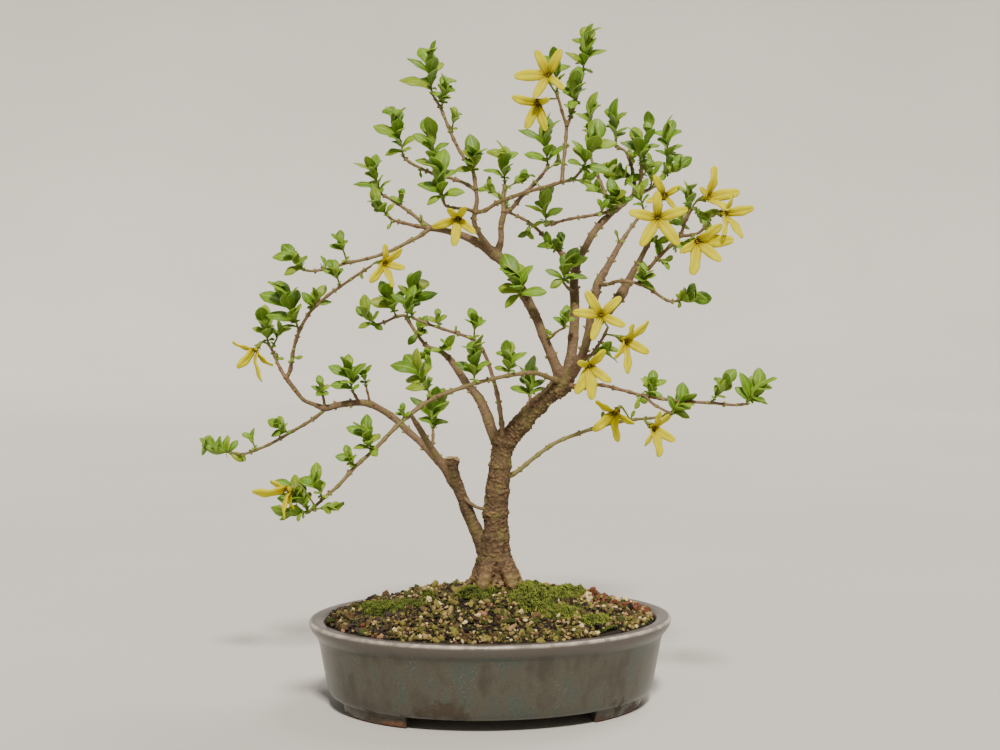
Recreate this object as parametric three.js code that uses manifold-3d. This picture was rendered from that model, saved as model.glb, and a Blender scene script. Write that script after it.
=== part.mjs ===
// A forsythia bonsai in early leaf and bloom: a glazed oval pot on four feet, its soil and moss,
// the wood of the tree, and on it the leafy stems and the yellow blooms.
// Millimetres, +Z up, the pot's long side along X, standing on Z = 0.
import * as THREE from "three";
import { mergeVertices } from "three/addons/utils/BufferGeometryUtils.js";
import Module from "manifold-3d";

const wasm = await Module();
wasm.setup();

// Driving dimensions.
const GAP = 0.3; // between pieces that rest on or grow from each other
const POT = { length: 200, width: 154, height: 48.1, foot: 6, floor: 6, baseLength: 176, sides: 32 };
const LIP = { width: 9, height: 6 };
const FOOT = { depth: 12, from: 35.6, to: 73.5, inset: 2 }; // degrees from the pot's front or back
const DRAIN = { radius: 7, fromCentre: 42, screen: 24, hole: 4.4, pitch: 6.4, rows: 3, thickness: 1 };
const MOUND = { wall: 45.2, edge: 47.6, rise: 17.4, power: 1.6, collar: 1.2, collarRadius: 22 };
const GRANULE = 0.55; // relief of the soil's surface
const SLIVER = 0.04; // smaller steps than this are left out
const BLADE = 1; // thickness of a leaf or petal along its rib

// The tree is laid out on a front view, as seen from an eye in front of the pot.
// A spot is [across, down, depth]: where it lies on a sheet of 1000 by 750, and how far behind
// the trunk it is, in millimetres.
const SHEET = { across: 500, down: 375, focal: 1571 };
const EYE = { right: 4.9, distance: 860, height: 226, pitch: THREE.MathUtils.degToRad(3) };
const FRONT_TURN = THREE.MathUtils.degToRad(-6.6); // from the pot's long side to the tree's front
const UP = new THREE.Vector3(0, 0, 1);
const SIGHT = new THREE.Vector3(0, 1, 0).applyAxisAngle(UP, FRONT_TURN);
const ACROSS = new THREE.Vector3(1, 0, 0).applyAxisAngle(UP, FRONT_TURN);

function spot([across, down, depth]) {
  const right = (across - SHEET.across) / SHEET.focal;
  const up = (SHEET.down - down) / SHEET.focal;
  const forward = Math.cos(EYE.pitch) + up * Math.sin(EYE.pitch);
  const rise = up * Math.cos(EYE.pitch) - Math.sin(EYE.pitch);
  const reach = (EYE.distance + depth) / forward;
  const point = new THREE.Vector3(EYE.right + reach * right, depth, EYE.height + reach * rise);
  return point.applyAxisAngle(UP, FRONT_TURN);
}

// A repeatable draw from 0 to 1.
function draw(seed) {
  const wave = Math.sin(seed * 127.1 + 11.7) * 43758.5453;
  return wave - Math.floor(wave);
}

// Wood. A route is a list of knots, each [across, down, depth, radius].
const FORK = [504, 441, 0];
const CROTCH = [564, 383, -8];
const LEFT_NODE = [430, 228, 6];
const BACK_NODE = [634, 194, 46];
const WOOD = {
  trunk: {
    sides: 12,
    relief: 0.09,
    route: [[494, 606, 0, 7.6], [494, 590, 0, 9.4], [494, 574, 0, 9.6], [495, 553, 0, 8.6],
      [496, 528, 0, 7.2], [496, 502, -1, 6.7], [499, 478, -1, 6.7], [501, 458, 0, 6.0],
      [...FORK, 6.5], [508, 430, 0, 4.6]],
  },
  left_trunk: {
    sides: 10,
    relief: 0.08,
    route: [[489, 568, 3, 5.2], [482, 545, 4, 4.7], [472, 522, 3, 4.1], [464, 502, 2, 3.9],
      [457, 484, 1, 4.1], [452, 468, 0, 4.1], [451, 457, 0, 4.3]],
  },
  bridge: {
    sides: 6,
    relief: 0,
    route: [[461, 494, 0, 1.4], [470, 503, -2, 1.1], [479, 508, -3, 1.0], [488, 509, -3, 1.0]],
  },
  right_limb: {
    sides: 10,
    relief: 0.07,
    route: [[500, 449, 0, 5.4], [515, 431, -2, 5.5], [531, 413, -4, 5.3], [546, 398, -6, 5.2],
      [...CROTCH, 5.6], [570, 374, -8, 3.8]],
  },
  left_limb: {
    sides: 7,
    relief: 0.06,
    route: [[501, 448, 2, 3.9], [492, 431, 4, 3.1], [486, 413, 7, 2.9], [478, 397, 10, 2.5],
      [467, 384, 13, 2.3], [458, 370, 16, 2.2], [449, 358, 18, 1.7]],
  },
  arching_limb: {
    sides: 7,
    relief: 0.05,
    route: [[...CROTCH, 4.4], [556, 366, -7, 2.9], [546, 342, -6, 2.6], [537, 320, -5, 2.6],
      [527, 300, -4, 2.8], [515, 279, -3, 2.9], [505, 263, -2, 3.2], [494, 254, -1, 3.2],
      [480, 244, 0, 2.5], [464, 236, 2, 2.1], [447, 231, 4, 1.7], [...LEFT_NODE, 1.7]],
  },
  upright_limb: {
    sides: 7,
    relief: 0.05,
    route: [[...CROTCH, 4.0], [571, 358, -2, 3.1], [574, 332, 2, 2.8], [575, 308, 6, 2.7],
      [574, 284, 10, 2.5], [577, 264, 14, 2.2], [586, 246, 20, 2.0], [594, 232, 26, 2.0],
      [601, 223, 30, 2.1], [612, 213, 36, 1.6], [624, 204, 42, 1.4], [...BACK_NODE, 1.2]],
  },
  inner_limb: {
    sides: 7,
    relief: 0.05,
    route: [[569, 379, -8, 3.2], [582, 356, -12, 2.5], [588, 334, -16, 2.2], [591, 314, -18, 2.2],
      [595, 297, -18, 2.3], [598, 284, -17, 2.6], [606, 269, -14, 1.9], [614, 255, -10, 1.6],
      [620, 244, -6, 1.6]],
  },
  outer_limb: {
    sides: 7,
    relief: 0.05,
    route: [[587, 341, -15, 2.0], [599, 323, -22, 2.1], [611, 308, -26, 2.5], [621, 295, -28, 2.8],
      [627, 284, -28, 2.3], [634, 270, -28, 1.6], [641, 258, -28, 1.5], [647, 246, -28, 1.4]],
  },
  crown_post: {
    sides: 6,
    relief: 0.05,
    route: [[496, 257, -1, 2.4], [501, 240, 0, 1.7], [501, 226, 1, 1.6], [504, 213, 2, 1.6]],
  },
  crown_spur: {
    sides: 6,
    relief: 0.04,
    route: [[495, 256, -1, 2.2], [486, 243, -6, 1.7], [479, 233, -10, 1.4], [474, 222, -13, 1.4],
      [475, 212, -14, 1.5], [477, 200, -13, 1.2], [476, 190, -12, 1.2]],
  },
  low_limb: {
    sides: 7,
    relief: 0.04,
    route: [[455, 484, 1, 3.2], [445, 469, 3, 2.3], [434, 457, 8, 2.0], [422, 444, 12, 1.9],
      [408, 431, 16, 2.0], [394, 418, 18, 2.0], [380, 409, 18, 2.0], [367, 403, 17, 2.1],
      [352, 403, 15, 1.8], [338, 405, 13, 1.8], [325, 408, 11, 1.9], [313, 404, 9, 1.3],
      [304, 400, 8, 1.2], [296, 391, 7, 1.3], [286, 378, 6, 1.4]],
  },
  olive_limb: {
    sides: 6,
    relief: 0.04,
    route: [[455, 484, 1, 3.0], [442, 464, -2, 2.2], [432, 449, -4, 2.0], [424, 436, -6, 1.8],
      [416, 423, -8, 1.6], [411, 415, -9, 1.2]],
  },
};
const ROOTS = [
  [[491, 560, -3, 5.2], [486, 573, -9, 4.6], [483, 585, -14, 3.4], [481, 596, -18, 1.8]],
  [[503, 560, -3, 4.8], [508, 572, -8, 4.4], [511, 583, -13, 3.4], [513, 594, -17, 1.8]],
  [[485, 560, 2, 4.4], [477, 573, 3, 3.0], [470, 584, 4, 2.0], [464, 593, 5, 1.2]],
  [[504, 560, 3, 4.8], [513, 572, 5, 3.4], [520, 584, 7, 2.3], [526, 594, 9, 1.2]],
  [[490, 560, 6, 4.8], [484, 576, 13, 3.4], [478, 588, 20, 2.0], [474, 598, 24, 1.2]],
  [[500, 560, 6, 4.8], [506, 576, 14, 3.4], [512, 588, 20, 2.0], [516, 598, 25, 1.2]],
];

// Leafy stems. Each is a list of twigs that grow together. A twig has a route, as wood has.
// A shoot is [knot it grows from, tip across, tip down, lean away from the eye, longest leaf, pairs].
// A bloom grows from a knot. Its throat is [across, down, lean], it faces right, up and towards the
// eye by the three shares in face, and its petals' tips lean from the throat.
const STEMS = {
  stem_low_left: [{
    route: [[326, 408, 11, 1.2], [321, 413, 11, 1.0], [310, 421, 14, 0.95], [293, 431, 18, 0.9],
      [272, 443, 22, 0.85], [256, 450, 25, 0.8], [243, 454, 27, 0.7], [232, 453, 29, 0.6]],
    shoots: [[7, 205, 446, 2, 14, 3], [5, 249, 433, -2, 7, 3], [3.2, 276, 423, -3, 9, 3]],
  }],
  stem_left_arch: [{
    route: [[286, 378, 6, 1.2], [290, 371, 5, 1.1], [292, 358, 3, 1.0], [295, 344, 0, 0.95],
      [299, 332, -3, 0.95], [305, 320, -6, 0.9], [311, 311, -9, 0.9], [326, 297, -13, 0.85],
      [344, 284, -17, 0.8], [360, 273, -21, 0.75], [371, 266, -24, 0.65]],
    shoots: [[4, 283, 283, -4, 16, 4], [6, 320, 290, -3, 10, 3], [7.8, 333, 266, -3, 8, 3]],
    blooms: [
      { knot: 10, throat: [386, 264, -5], face: [0.75, -0.15, 0.65],
        tips: [[385, 244, -5], [402, 249, -2], [405, 268, -1], [393, 287, -3], [370, 282, -9]] },
    ],
  }],
  stem_left_tip: [{
    route: [[286, 378, 6, 1.1], [281, 370, 8, 0.95], [276, 359, 10, 0.85], [272, 350, 12, 0.8],
      [269, 345, 13, 0.7]],
    shoots: [[4, 262, 313, -2, 12, 3], [3.3, 284, 325, 5, 8, 3]],
    blooms: [
      { knot: 4, throat: [254, 352, -4], face: [-0.5, -0.75, 0.4],
        tips: [[232, 342, -2], [237, 368, -6], [262, 382, -6], [273, 366, 2]] },
    ],
  }],
  shoot_left_low: [{
    route: [[325, 408, 11, 0.9], [324, 401, 9, 0.7], [323, 396, 8, 0.6]],
    shoots: [[2, 321, 381, -2, 7, 3]],
  }],
  shoot_left_tall: [{
    route: [[359, 403, 16, 1.1], [356, 397, 12, 0.8], [353, 392, 10, 0.7]],
    shoots: [[2, 346, 359, -3, 13, 4]],
  }],
  shoot_left_bud: [{
    route: [[370, 404, 17, 0.9], [368, 394, 15, 0.6], [366, 386, 14, 0.55]],
    shoots: [[2, 363, 368, -2, 8, 2]],
  }],
  stem_front_left: [{
    route: [[...CROTCH, 1.8], [550, 378, -18, 1.3], [535, 373, -26, 1.2], [512, 375, -34, 1.1],
      [484, 381, -40, 1.0], [455, 390, -46, 1.1], [432, 399, -50, 1.2], [412, 413, -54, 1.2],
      [395, 428, -58, 1.1], [376, 448, -62, 1.0], [355, 467, -66, 1.0], [338, 486, -70, 0.9],
      [324, 498, -72, 0.8], [309, 512, -74, 0.7]],
    shoots: [[3.1, 506, 346, 3, 12, 4], [4.35, 475, 345, 4, 14, 4], [6, 413, 356, 2, 14, 4],
      [7.4, 401, 408, -3, 6, 2], [9.2, 363, 423, -3, 12, 4], [10, 347, 450, -2, 8, 3],
      [12.1, 314, 473, -3, 10, 3], [13, 292, 488, -3, 12, 3], [13, 284, 512, 5, 11, 2],
      [12.8, 336, 507, -3, 9, 1]],
    blooms: [
      { knot: 12.6, throat: [286, 491, -12], face: [-0.85, -0.4, 0.35],
        tips: [[252, 492, -3], [270, 481, 6], [284, 519, -2], [293, 509, 7]] },
    ],
  }],
  stem_mid_left: [{
    route: [[449, 358, 18, 1.6], [440, 351, 20, 1.3], [427, 346, 22, 1.1], [419, 337, 23, 1.0],
      [411, 325, 24, 1.0], [405, 316, 25, 0.9], [396, 317, 27, 0.8], [385, 322, 29, 0.7],
      [374, 325, 31, 0.6]],
    shoots: [[0.8, 447, 343, -5, 9, 3], [1.6, 424, 360, -7, 8, 2], [3.2, 422, 325, -6, 9, 3],
      [4.8, 416, 277, -3, 15, 4], [6, 385, 287, -5, 14, 4], [8, 362, 306, -3, 13, 3]],
  }],
  stem_mid: [{
    route: [[503, 437, -3, 1.6], [501, 418, -6, 1.3], [498, 398, -8, 1.2], [493, 378, -10, 1.1],
      [486, 357, -11, 1.0], [480, 346, -12, 0.95], [474, 340, -12, 0.9], [462, 335, -10, 0.85],
      [446, 330, -8, 0.8], [428, 324, -6, 0.75], [413, 318, -4, 0.7]],
    shoots: [[6, 475, 314, -2, 9, 3], [8.4, 437, 312, -2, 7, 3],
      [10, 404, 298, 0, 11, 3]],
  }],
  stem_upper_left: [{
    route: [[...LEFT_NODE, 1.4], [420, 236, 4, 1.1], [410, 241, 2, 1.0], [397, 248, -1, 0.95],
      [380, 255, -4, 0.9], [362, 260, -7, 0.85], [347, 263, -10, 0.85], [330, 268, -13, 0.8],
      [312, 271, -16, 0.7], [304, 270, -17, 0.6]],
    shoots: [[6, 338, 234, -2, 9, 2], [9, 289, 249, -3, 12, 3], [7.4, 327, 261, 3, 6, 2]],
  }, {
    route: [[...LEFT_NODE, 1.3], [421, 221, 8, 1.1], [411, 213, 10, 1.0], [401, 206, 12, 0.9],
      [390, 199, 14, 0.8], [381, 194, 16, 0.7]],
    shoots: [[5, 370, 160, 2, 12, 4], [3.1, 402, 191, -2, 7, 3]],
  }, {
    route: [[...LEFT_NODE, 1.3], [416, 226, 3, 1.0], [404, 223, 0, 0.9], [393, 220, -2, 0.8],
      [387, 215, -4, 0.6]],
    shoots: [[4, 373, 198, -2, 13, 3]],
  }],
  stem_crown_left: [{
    route: [[476, 190, -12, 1.1], [464, 183, -6, 0.95], [450, 178, 0, 0.9], [434, 174, 6, 0.85],
      [420, 168, 12, 0.8], [408, 161, 16, 0.8], [403, 156, 18, 0.7]],
    shoots: [[6, 394, 111, 2, 15, 4], [3, 431, 123, -2, 14, 4]],
  }],
  stem_crown_tall: [{
    route: [[476, 190, -12, 1.1], [473, 172, -11, 1.0], [464, 158, -9, 0.9], [457, 146, -6, 0.9],
      [451, 133, -4, 0.9], [446, 121, -1, 0.85], [441, 109, 2, 0.85], [437, 102, 4, 0.7],
      [432, 94, 5, 0.6]],
    shoots: [[8, 430, 49, 0, 16, 4], [6, 447, 79, -3, 11, 3], [4, 456, 109, -3, 8, 2],
      [1, 476, 151, -5, 15, 4]],
  }],
  stem_crown_front: [{
    route: [[475, 212, -14, 1.1], [466, 209, -20, 0.9], [455, 208, -25, 0.8], [446, 206, -29, 0.75],
      [443, 200, -31, 0.7]],
    shoots: [[4, 438, 160, -3, 16, 4]],
    blooms: [
      { knot: 3, throat: [458, 219, -6], face: [0.1, -0.35, 0.9],
        tips: [[432, 227, -1], [454, 246, -2], [475, 233, -2], [465, 207, -9], [448, 209, -8]] },
    ],
  }],
  stem_crown_mid: [{
    route: [[504, 213, 2, 1.3], [503, 202, 5, 1.0], [504, 190, 8, 0.9], [505, 182, 10, 0.7]],
    shoots: [[3, 502, 150, 0, 15, 4], [2, 528, 175, -4, 9, 3], [1.4, 484, 184, 5, 9, 3]],
  }],
  stem_crown_back: [{
    route: [[504, 213, 2, 1.4], [512, 208, 8, 1.2], [521, 197, 15, 1.1], [532, 186, 22, 1.0],
      [542, 175, 28, 0.9], [548, 166, 32, 0.8]],
    shoots: [[5, 543, 121, 0, 16, 4], [4.5, 562, 160, 5, 7, 3]],
  }],
  stem_crown_right: [{
    route: [[475, 212, -14, 1.3], [484, 211, -18, 1.1], [497, 203, -22, 1.0], [512, 197, -26, 1.0],
      [527, 192, -30, 1.0], [545, 187, -34, 0.95], [562, 182, -38, 0.9], [573, 179, -40, 0.8],
      [581, 171, -42, 0.7]],
    shoots: [[8, 600, 129, -2, 16, 4], [6.9, 592, 182, -4, 8, 2]],
  }],
  stem_crown_top: [{
    route: [[562, 182, -38, 1.1], [563, 166, -36, 0.95], [565, 150, -34, 0.9], [566, 136, -32, 0.9],
      [567, 126, -31, 0.9], [571, 116, -30, 0.8], [575, 104, -28, 0.7], [578, 93, -27, 0.65],
      [581, 82, -25, 0.65], [583, 75, -24, 0.6]],
    shoots: [[9, 588, 29, 2, 15, 4], [6, 574, 77, -4, 13, 3], [4.8, 570, 105, 3, 6, 2]],
  }, {
    route: [[567, 126, -31, 0.9], [563, 115, -33, 0.8], [560, 104, -35, 0.75], [557, 95, -36, 0.7]],
    shoots: [[3, 555, 53, 5, 13, 4]],
    blooms: [
      { knot: 3, throat: [548, 75, -10], face: [0.1, 0.05, 1],
        tips: [[514, 76, -1], [536, 50, -4], [561, 49, -4], [564, 89, -3], [534, 98, -2]] },
      { knot: 2.6, throat: [537, 104, -4], face: [-0.25, -0.4, 0.85],
        tips: [[512, 97, -3], [526, 129, 1], [546, 131, 1], [549, 99, -8]] },
    ],
  }],
  stem_back_left: [{
    route: [[612, 213, 36, 1.2], [606, 196, 44, 1.0], [598, 176, 50, 0.9], [591, 158, 55, 0.8],
      [589, 145, 58, 0.7]],
    shoots: [[4, 591, 97, 4, 13, 4]],
  }],
  stem_back_mid: [{
    route: [[...BACK_NODE, 1.1], [634, 178, 50, 1.0], [630, 162, 54, 0.9], [625, 151, 57, 0.8],
      [616, 147, 60, 0.7]],
    shoots: [[4, 614, 108, 4, 14, 4], [1, 616, 171, -6, 14, 3]],
  }, {
    route: [[...BACK_NODE, 1.1], [640, 184, 43, 1.0], [641, 172, 38, 0.9], [641, 164, 35, 0.8]],
    shoots: [[3, 637, 132, -2, 15, 4], [2, 650, 118, 14, 12, 4]],
  }],
  stem_back_right: [{
    route: [[...BACK_NODE, 1.2], [648, 190, 50, 1.0], [660, 180, 54, 0.9], [667, 168, 57, 0.8]],
    shoots: [[3, 668, 122, 3, 14, 4], [2.4, 686, 163, -8, 12, 3]],
  }],
  stem_back_across: [{
    route: [[624, 204, 42, 1.1], [617, 209, 34, 1.0], [604, 213, 28, 0.95], [588, 216, 24, 0.9],
      [570, 219, 20, 0.85], [555, 223, 18, 0.75], [546, 226, 17, 0.6]],
    shoots: [[6, 543, 189, 8, 14, 4], [1.2, 614, 188, -7, 13, 3], [2.2, 603, 203, -4, 6, 2]],
  }],
  stem_back_low: [{
    route: [[577, 264, 14, 1.6], [568, 259, 20, 1.3], [558, 250, 26, 1.2], [545, 237, 32, 1.0],
      [530, 223, 38, 0.9], [517, 216, 43, 0.8], [508, 212, 46, 0.7]],
    shoots: [[2, 545, 243, -4, 9, 2], [1.8, 561, 239, 0, 9, 2], [6, 500, 194, 3, 11, 3],
      [4, 527, 237, -2, 7, 2]],
  }],
  shoot_centre: [{
    route: [[575, 292, 8, 1.1], [568, 288, 1, 0.8], [563, 282, -3, 0.7]],
    shoots: [[2, 570, 256, -4, 14, 4]],
  }],
  shoot_front: [{
    route: [[527, 302, -4, 1.3], [526, 304, -12, 1.0], [521, 297, -17, 0.8]],
    shoots: [[2, 513, 270, -4, 17, 4]],
  }],
  stem_centre_small: [{
    route: [[545, 342, -6, 1.1], [552, 336, -10, 0.8], [558, 331, -12, 0.7], [564, 328, -13, 0.6]],
    shoots: [[3, 567, 310, -2, 9, 3]],
  }],
  stem_right_bloom: [{
    route: [[583, 360, -13, 1.3], [592, 354, -20, 0.9], [599, 344, -24, 0.8], [604, 336, -26, 0.8],
      [608, 327, -27, 0.7]],
    shoots: [[1, 608, 350, 6, 11, 3]],
    blooms: [
      { knot: 4, throat: [601, 315, -12], face: [0, 0.05, 1],
        tips: [[586, 291, -3], [621, 297, -3], [573, 312, -2], [625, 326, -3], [592, 340, -3]] },
      { knot: 3.2, throat: [627, 341, -6], face: [0.75, -0.35, 0.55],
        tips: [[649, 321, 1], [633, 324, -8], [649, 353, 1], [628, 374, -4], [615, 358, -9]] },
      { knot: 0.9, throat: [590, 367, -13], face: [0.12, -0.3, 0.95],
        tips: [[605, 350, -7], [611, 382, -3], [576, 394, 0], [592, 400, -1], [578, 362, -8]] },
    ],
  }],
  stem_right_mid: [{
    route: [[598, 285, -17, 1.2], [609, 284, -28, 1.0], [620, 281, -37, 0.95], [636, 283, -40, 0.9],
      [650, 289, -40, 0.85], [660, 296, -40, 0.8], [669, 301, -40, 0.7], [677, 301, -40, 0.6]],
    shoots: [[3.4, 645, 269, -3, 10, 3], [7, 700, 297, -2, 12, 4]],
  }],
  stem_right_long: [{
    route: [[...CROTCH, 1.8], [578, 387, -14, 1.3], [600, 385, -22, 0.95], [622, 390, -30, 0.9],
      [645, 396, -36, 0.85], [680, 401, -42, 0.85], [712, 403, -46, 0.8], [735, 405, -50, 0.7],
      [747, 404, -52, 0.6]],
    shoots: [[4.1, 654, 378, -2, 10, 3], [3.7, 640, 401, -2, 6, 2], [6, 728, 376, -3, 11, 3],
      [8, 767, 379, -2, 15, 4]],
  }, {
    route: [[645, 396, -36, 0.85], [652, 403, -38, 0.75], [662, 409, -40, 0.7], [672, 414, -41, 0.6]],
    shoots: [[3, 686, 398, -2, 12, 4]],
  }],
  stem_right_low: [{
    route: [[503, 479, 3, 1.6], [515, 473, 2, 1.2], [535, 457, 5, 1.15], [555, 443, 8, 1.1],
      [580, 433, 11, 1.05], [605, 425, 14, 0.95], [630, 420, 16, 0.85], [652, 418, 18, 0.7],
      [664, 416, 19, 0.6]],
    shoots: [],
    blooms: [
      { knot: 6, throat: [614, 414, -12], face: [-0.55, -0.6, 0.6],
        tips: [[596, 401, -6], [593, 431, -2], [618, 442, -3], [634, 424, -5]] },
      { knot: 6.6, throat: [655, 429, -9], face: [0.65, -0.5, 0.6],
        tips: [[674, 410, -1], [675, 441, 1], [660, 457, -1], [645, 446, -7], [660, 411, -8]] },
    ],
  }],
  stem_right_top: [{
    route: [[636, 268, -28, 1.4], [647, 269, -31, 1.1], [657, 259, -34, 1.0], [669, 247, -36, 0.95],
      [680, 236, -38, 0.9], [685, 222, -40, 0.85], [692, 208, -42, 0.8]],
    shoots: [[6, 711, 222, -3, 10, 1], [3.2, 690, 246, 4, 10, 3], [5, 690, 187, 8, 11, 3],
      [2, 669, 264, -4, 6, 2]],
    blooms: [
      { knot: 6, throat: [710, 197, -9], face: [0.75, 0.15, 0.6],
        tips: [[715, 166, -3], [740, 192, 1], [729, 210, -3], [700, 188, -8]] },
    ],
  }, {
    route: [[680, 236, -38, 0.9], [691, 235, -42, 0.8], [700, 232, -45, 0.75], [708, 223, -47, 0.7]],
    shoots: [],
    blooms: [
      { knot: 1.6, throat: [698, 242, -11], face: [0.4, -0.2, 0.9],
        tips: [[722, 224, -5], [734, 240, -1], [721, 261, -2], [693, 275, -3], [680, 252, -6]] },
      { knot: 3, throat: [727, 214, -6], face: [0.8, -0.15, 0.55],
        tips: [[754, 208, 1], [743, 238, -3], [724, 235, -8], [733, 192, -2]] },
    ],
  }],
  stem_right_high: [{
    route: [[647, 247, -28, 1.3], [651, 236, -28, 1.0], [654, 226, -28, 0.9], [658, 212, -26, 0.8],
      [662, 205, -24, 0.7]],
    shoots: [[2, 686, 221, 6, 9, 2], [0.8, 662, 245, -5, 8, 2]],
    blooms: [
      { knot: 1.6, throat: [658, 218, -16], face: [0, 0.05, 1],
        tips: [[657, 191, -4], [688, 209, -3], [679, 245, -3], [641, 246, -3], [629, 212, -3]] },
      { knot: 4, throat: [665, 195, -3], face: [0.15, 0.25, 0.95],
        tips: [[654, 175, -4], [681, 186, -3], [676, 209, 1], [646, 202, 0]] },
    ],
  }],
  stem_right_inner: [{
    route: [[620, 244, -6, 1.3], [628, 232, -2, 1.0], [636, 221, 4, 0.9], [644, 212, 9, 0.8]],
    shoots: [[3, 637, 184, 4, 10, 3]],
  }],
  shoot_low_back: [{
    route: [[431, 454, 9, 1.3], [432, 447, 18, 1.0], [433, 438, 28, 0.9], [433, 429, 35, 0.8]],
    shoots: [[3, 434, 398, 6, 17, 4]],
  }],
  shoot_centre_back: [{
    route: [[530, 414, -4, 1.6], [530, 406, 8, 1.1], [530, 397, 16, 0.9]],
    shoots: [[2, 529, 369, 6, 14, 3]],
  }],
};

// Moss cushions: the middle of each, its two half widths and its height, and how far it is turned.
const MOSS = {
  moss_right: [[21, -10, 15, 11, 5.4, -25], [41, -17, 16, 9, 4.4, -22]],
  moss_trunk: [[-9, -17, 10, 7.5, 4.5, 10]],
  moss_left: [[-54, -15, 18, 11, 4.5, -5]],
  moss_front: [[54, -37, 9, 6.5, 3.2, 15]],
};

const COLOURS = {
  glaze: { color: 0x7d8078, roughness: 0.42, metalness: 0 },
  soil: { color: 0x4a3a28, roughness: 1, metalness: 0 },
  mesh: { color: 0x1d2320, roughness: 0.6, metalness: 0 },
  moss: { color: 0x6d8426, roughness: 1, metalness: 0 },
  bark: { color: 0x8a6a4c, roughness: 0.9, metalness: 0 },
  leaf: { color: 0x6f9c2f, roughness: 0.55, metalness: 0 },
  petal: { color: 0xf2cf16, roughness: 0.5, metalness: 0 },
};

// A closed three.js geometry as a solid.
function solidOf(geometry) {
  const bare = geometry.clone().deleteAttribute("normal").deleteAttribute("uv");
  const merged = mergeVertices(bare, 1e-4);
  return new wasm.Manifold(new wasm.Mesh({
    numProp: 3,
    vertProperties: merged.attributes.position.array,
    triVerts: new Uint32Array(merged.index.array),
  }));
}

function joined(solids) {
  return solids.reduce((whole, next) => whole.add(next));
}

// The main body of a solid, without loose scraps.
function mainBody(solid) {
  return solid.decompose().reduce((most, next) => (next.volume() > most.volume() ? next : most));
}

// A closed skin of rings: each vertex of a sphere is placed by its ring and its turn round it.
// The first and last rings are points.
function skin(turns, rings, place) {
  const geometry = new THREE.SphereGeometry(1, turns, rings - 1);
  const { position, uv } = geometry.attributes;
  for (let i = 0; i < position.count; i++) {
    const ring = Math.round((1 - uv.getY(i)) * (rings - 1));
    const turn = Math.round(uv.getX(i) * turns) % turns;
    const point = place(ring, turn);
    position.setXYZ(i, point.x, point.y, point.z);
  }
  return solidOf(geometry);
}

// A tapering stem along a route of knots. Its surface is roughened by relief, a share of its radius.
function stem(route, { sides = 4, relief = 0, rings = twigRings(route), grow = 0 } = {}) {
  const curve = new THREE.CatmullRomCurve3(route.map(spot));
  const last = rings - 1;
  const centres = spine(route, rings);
  const tangents = centres.map((_, i) => curve.getTangent(i / last));
  let side = new THREE.Vector3().crossVectors(tangents[0], SIGHT).normalize();
  const sidesAt = tangents.map((tangent) => {
    side = side.clone().addScaledVector(tangent, -side.dot(tangent)).normalize();
    return side;
  });
  return skin(sides, rings + 2, (ring, turn) => {
    const at = Math.min(Math.max(ring - 1, 0), last);
    const beyond = at === 0 ? -grow : at === last ? grow : 0;
    const centre = centres[at].clone().addScaledVector(tangents[at], beyond);
    if (ring === 0 || ring === rings + 1) return centre;
    const angle = (turn / sides) * 2 * Math.PI;
    const rough = 1 + relief * (2 * draw(turn * 7.3 + at * 3.1) - 1);
    const radius = radiusAt(route, at / last) * rough + grow;
    const across = new THREE.Vector3().crossVectors(tangents[at], sidesAt[at]);
    return centre
      .addScaledVector(sidesAt[at], -Math.cos(angle) * radius)
      .addScaledVector(across, Math.sin(angle) * radius);
  });
}

function radiusAt(route, share) {
  const place = share * (route.length - 1);
  const knot = Math.min(Math.floor(place), route.length - 2);
  return THREE.MathUtils.lerp(route[knot][3], route[knot + 1][3], place - knot);
}

function twigRings(route) {
  return Math.ceil(0.7 * route.length);
}

// The middles of a stem's rings.
function spine(route, rings) {
  const curve = new THREE.CatmullRomCurve3(route.map(spot));
  return [...Array(rings).keys()].map((i) => curve.getPoint(i / (rings - 1)));
}

// Where a twig is at a knot, which may be part of the way to the next.
function pointAt(route, knot) {
  const middles = spine(route, twigRings(route));
  const place = (knot / (route.length - 1)) * (middles.length - 1);
  const ring = Math.min(Math.floor(place), middles.length - 2);
  return middles[ring].clone().lerp(middles[ring + 1], place - ring);
}

// A straight tapering piece between two points.
function rod(from, to, fromRadius, toRadius, sides, grow) {
  const axis = to.clone().sub(from).normalize();
  const side = new THREE.Vector3().crossVectors(axis, Math.abs(axis.z) > 0.9 ? ACROSS : UP).normalize();
  const across = new THREE.Vector3().crossVectors(axis, side);
  const start = from.clone().addScaledVector(axis, -grow);
  const end = to.clone().addScaledVector(axis, grow);
  return skin(sides, 4, (ring, turn) => {
    const centre = ring < 2 ? start : end;
    if (ring === 0 || ring === 3) return centre;
    const angle = (turn / sides) * 2 * Math.PI;
    const radius = (ring === 1 ? fromRadius : toRadius) + grow;
    return centre.clone()
      .addScaledVector(side, -Math.cos(angle) * radius)
      .addScaledVector(across, Math.sin(angle) * radius);
  });
}

// A leaf or petal: an arched blade with a keel under its rib. Its outline is the share of its
// length and of its width at each row.
const LEAF = { rows: [[0, 0], [0.38, 1], [0.74, 0.72], [1, 0]], width: 0.5, arch: 0.16 };
const SMALL_LEAF = { rows: [[0, 0], [0.46, 1], [1, 0]], width: 0.52, arch: 0.14 };
const PETAL = { rows: [[0, 0], [0.3, 0.75], [0.74, 1], [1, 0]], width: 0.32, arch: 0.14 };
const LARGE = 10.5; // from this length a leaf has both rows
const SECTION = [[-1, 0.4], [1, 0.4], [0, -0.6]]; // left edge, right edge, keel

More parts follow.
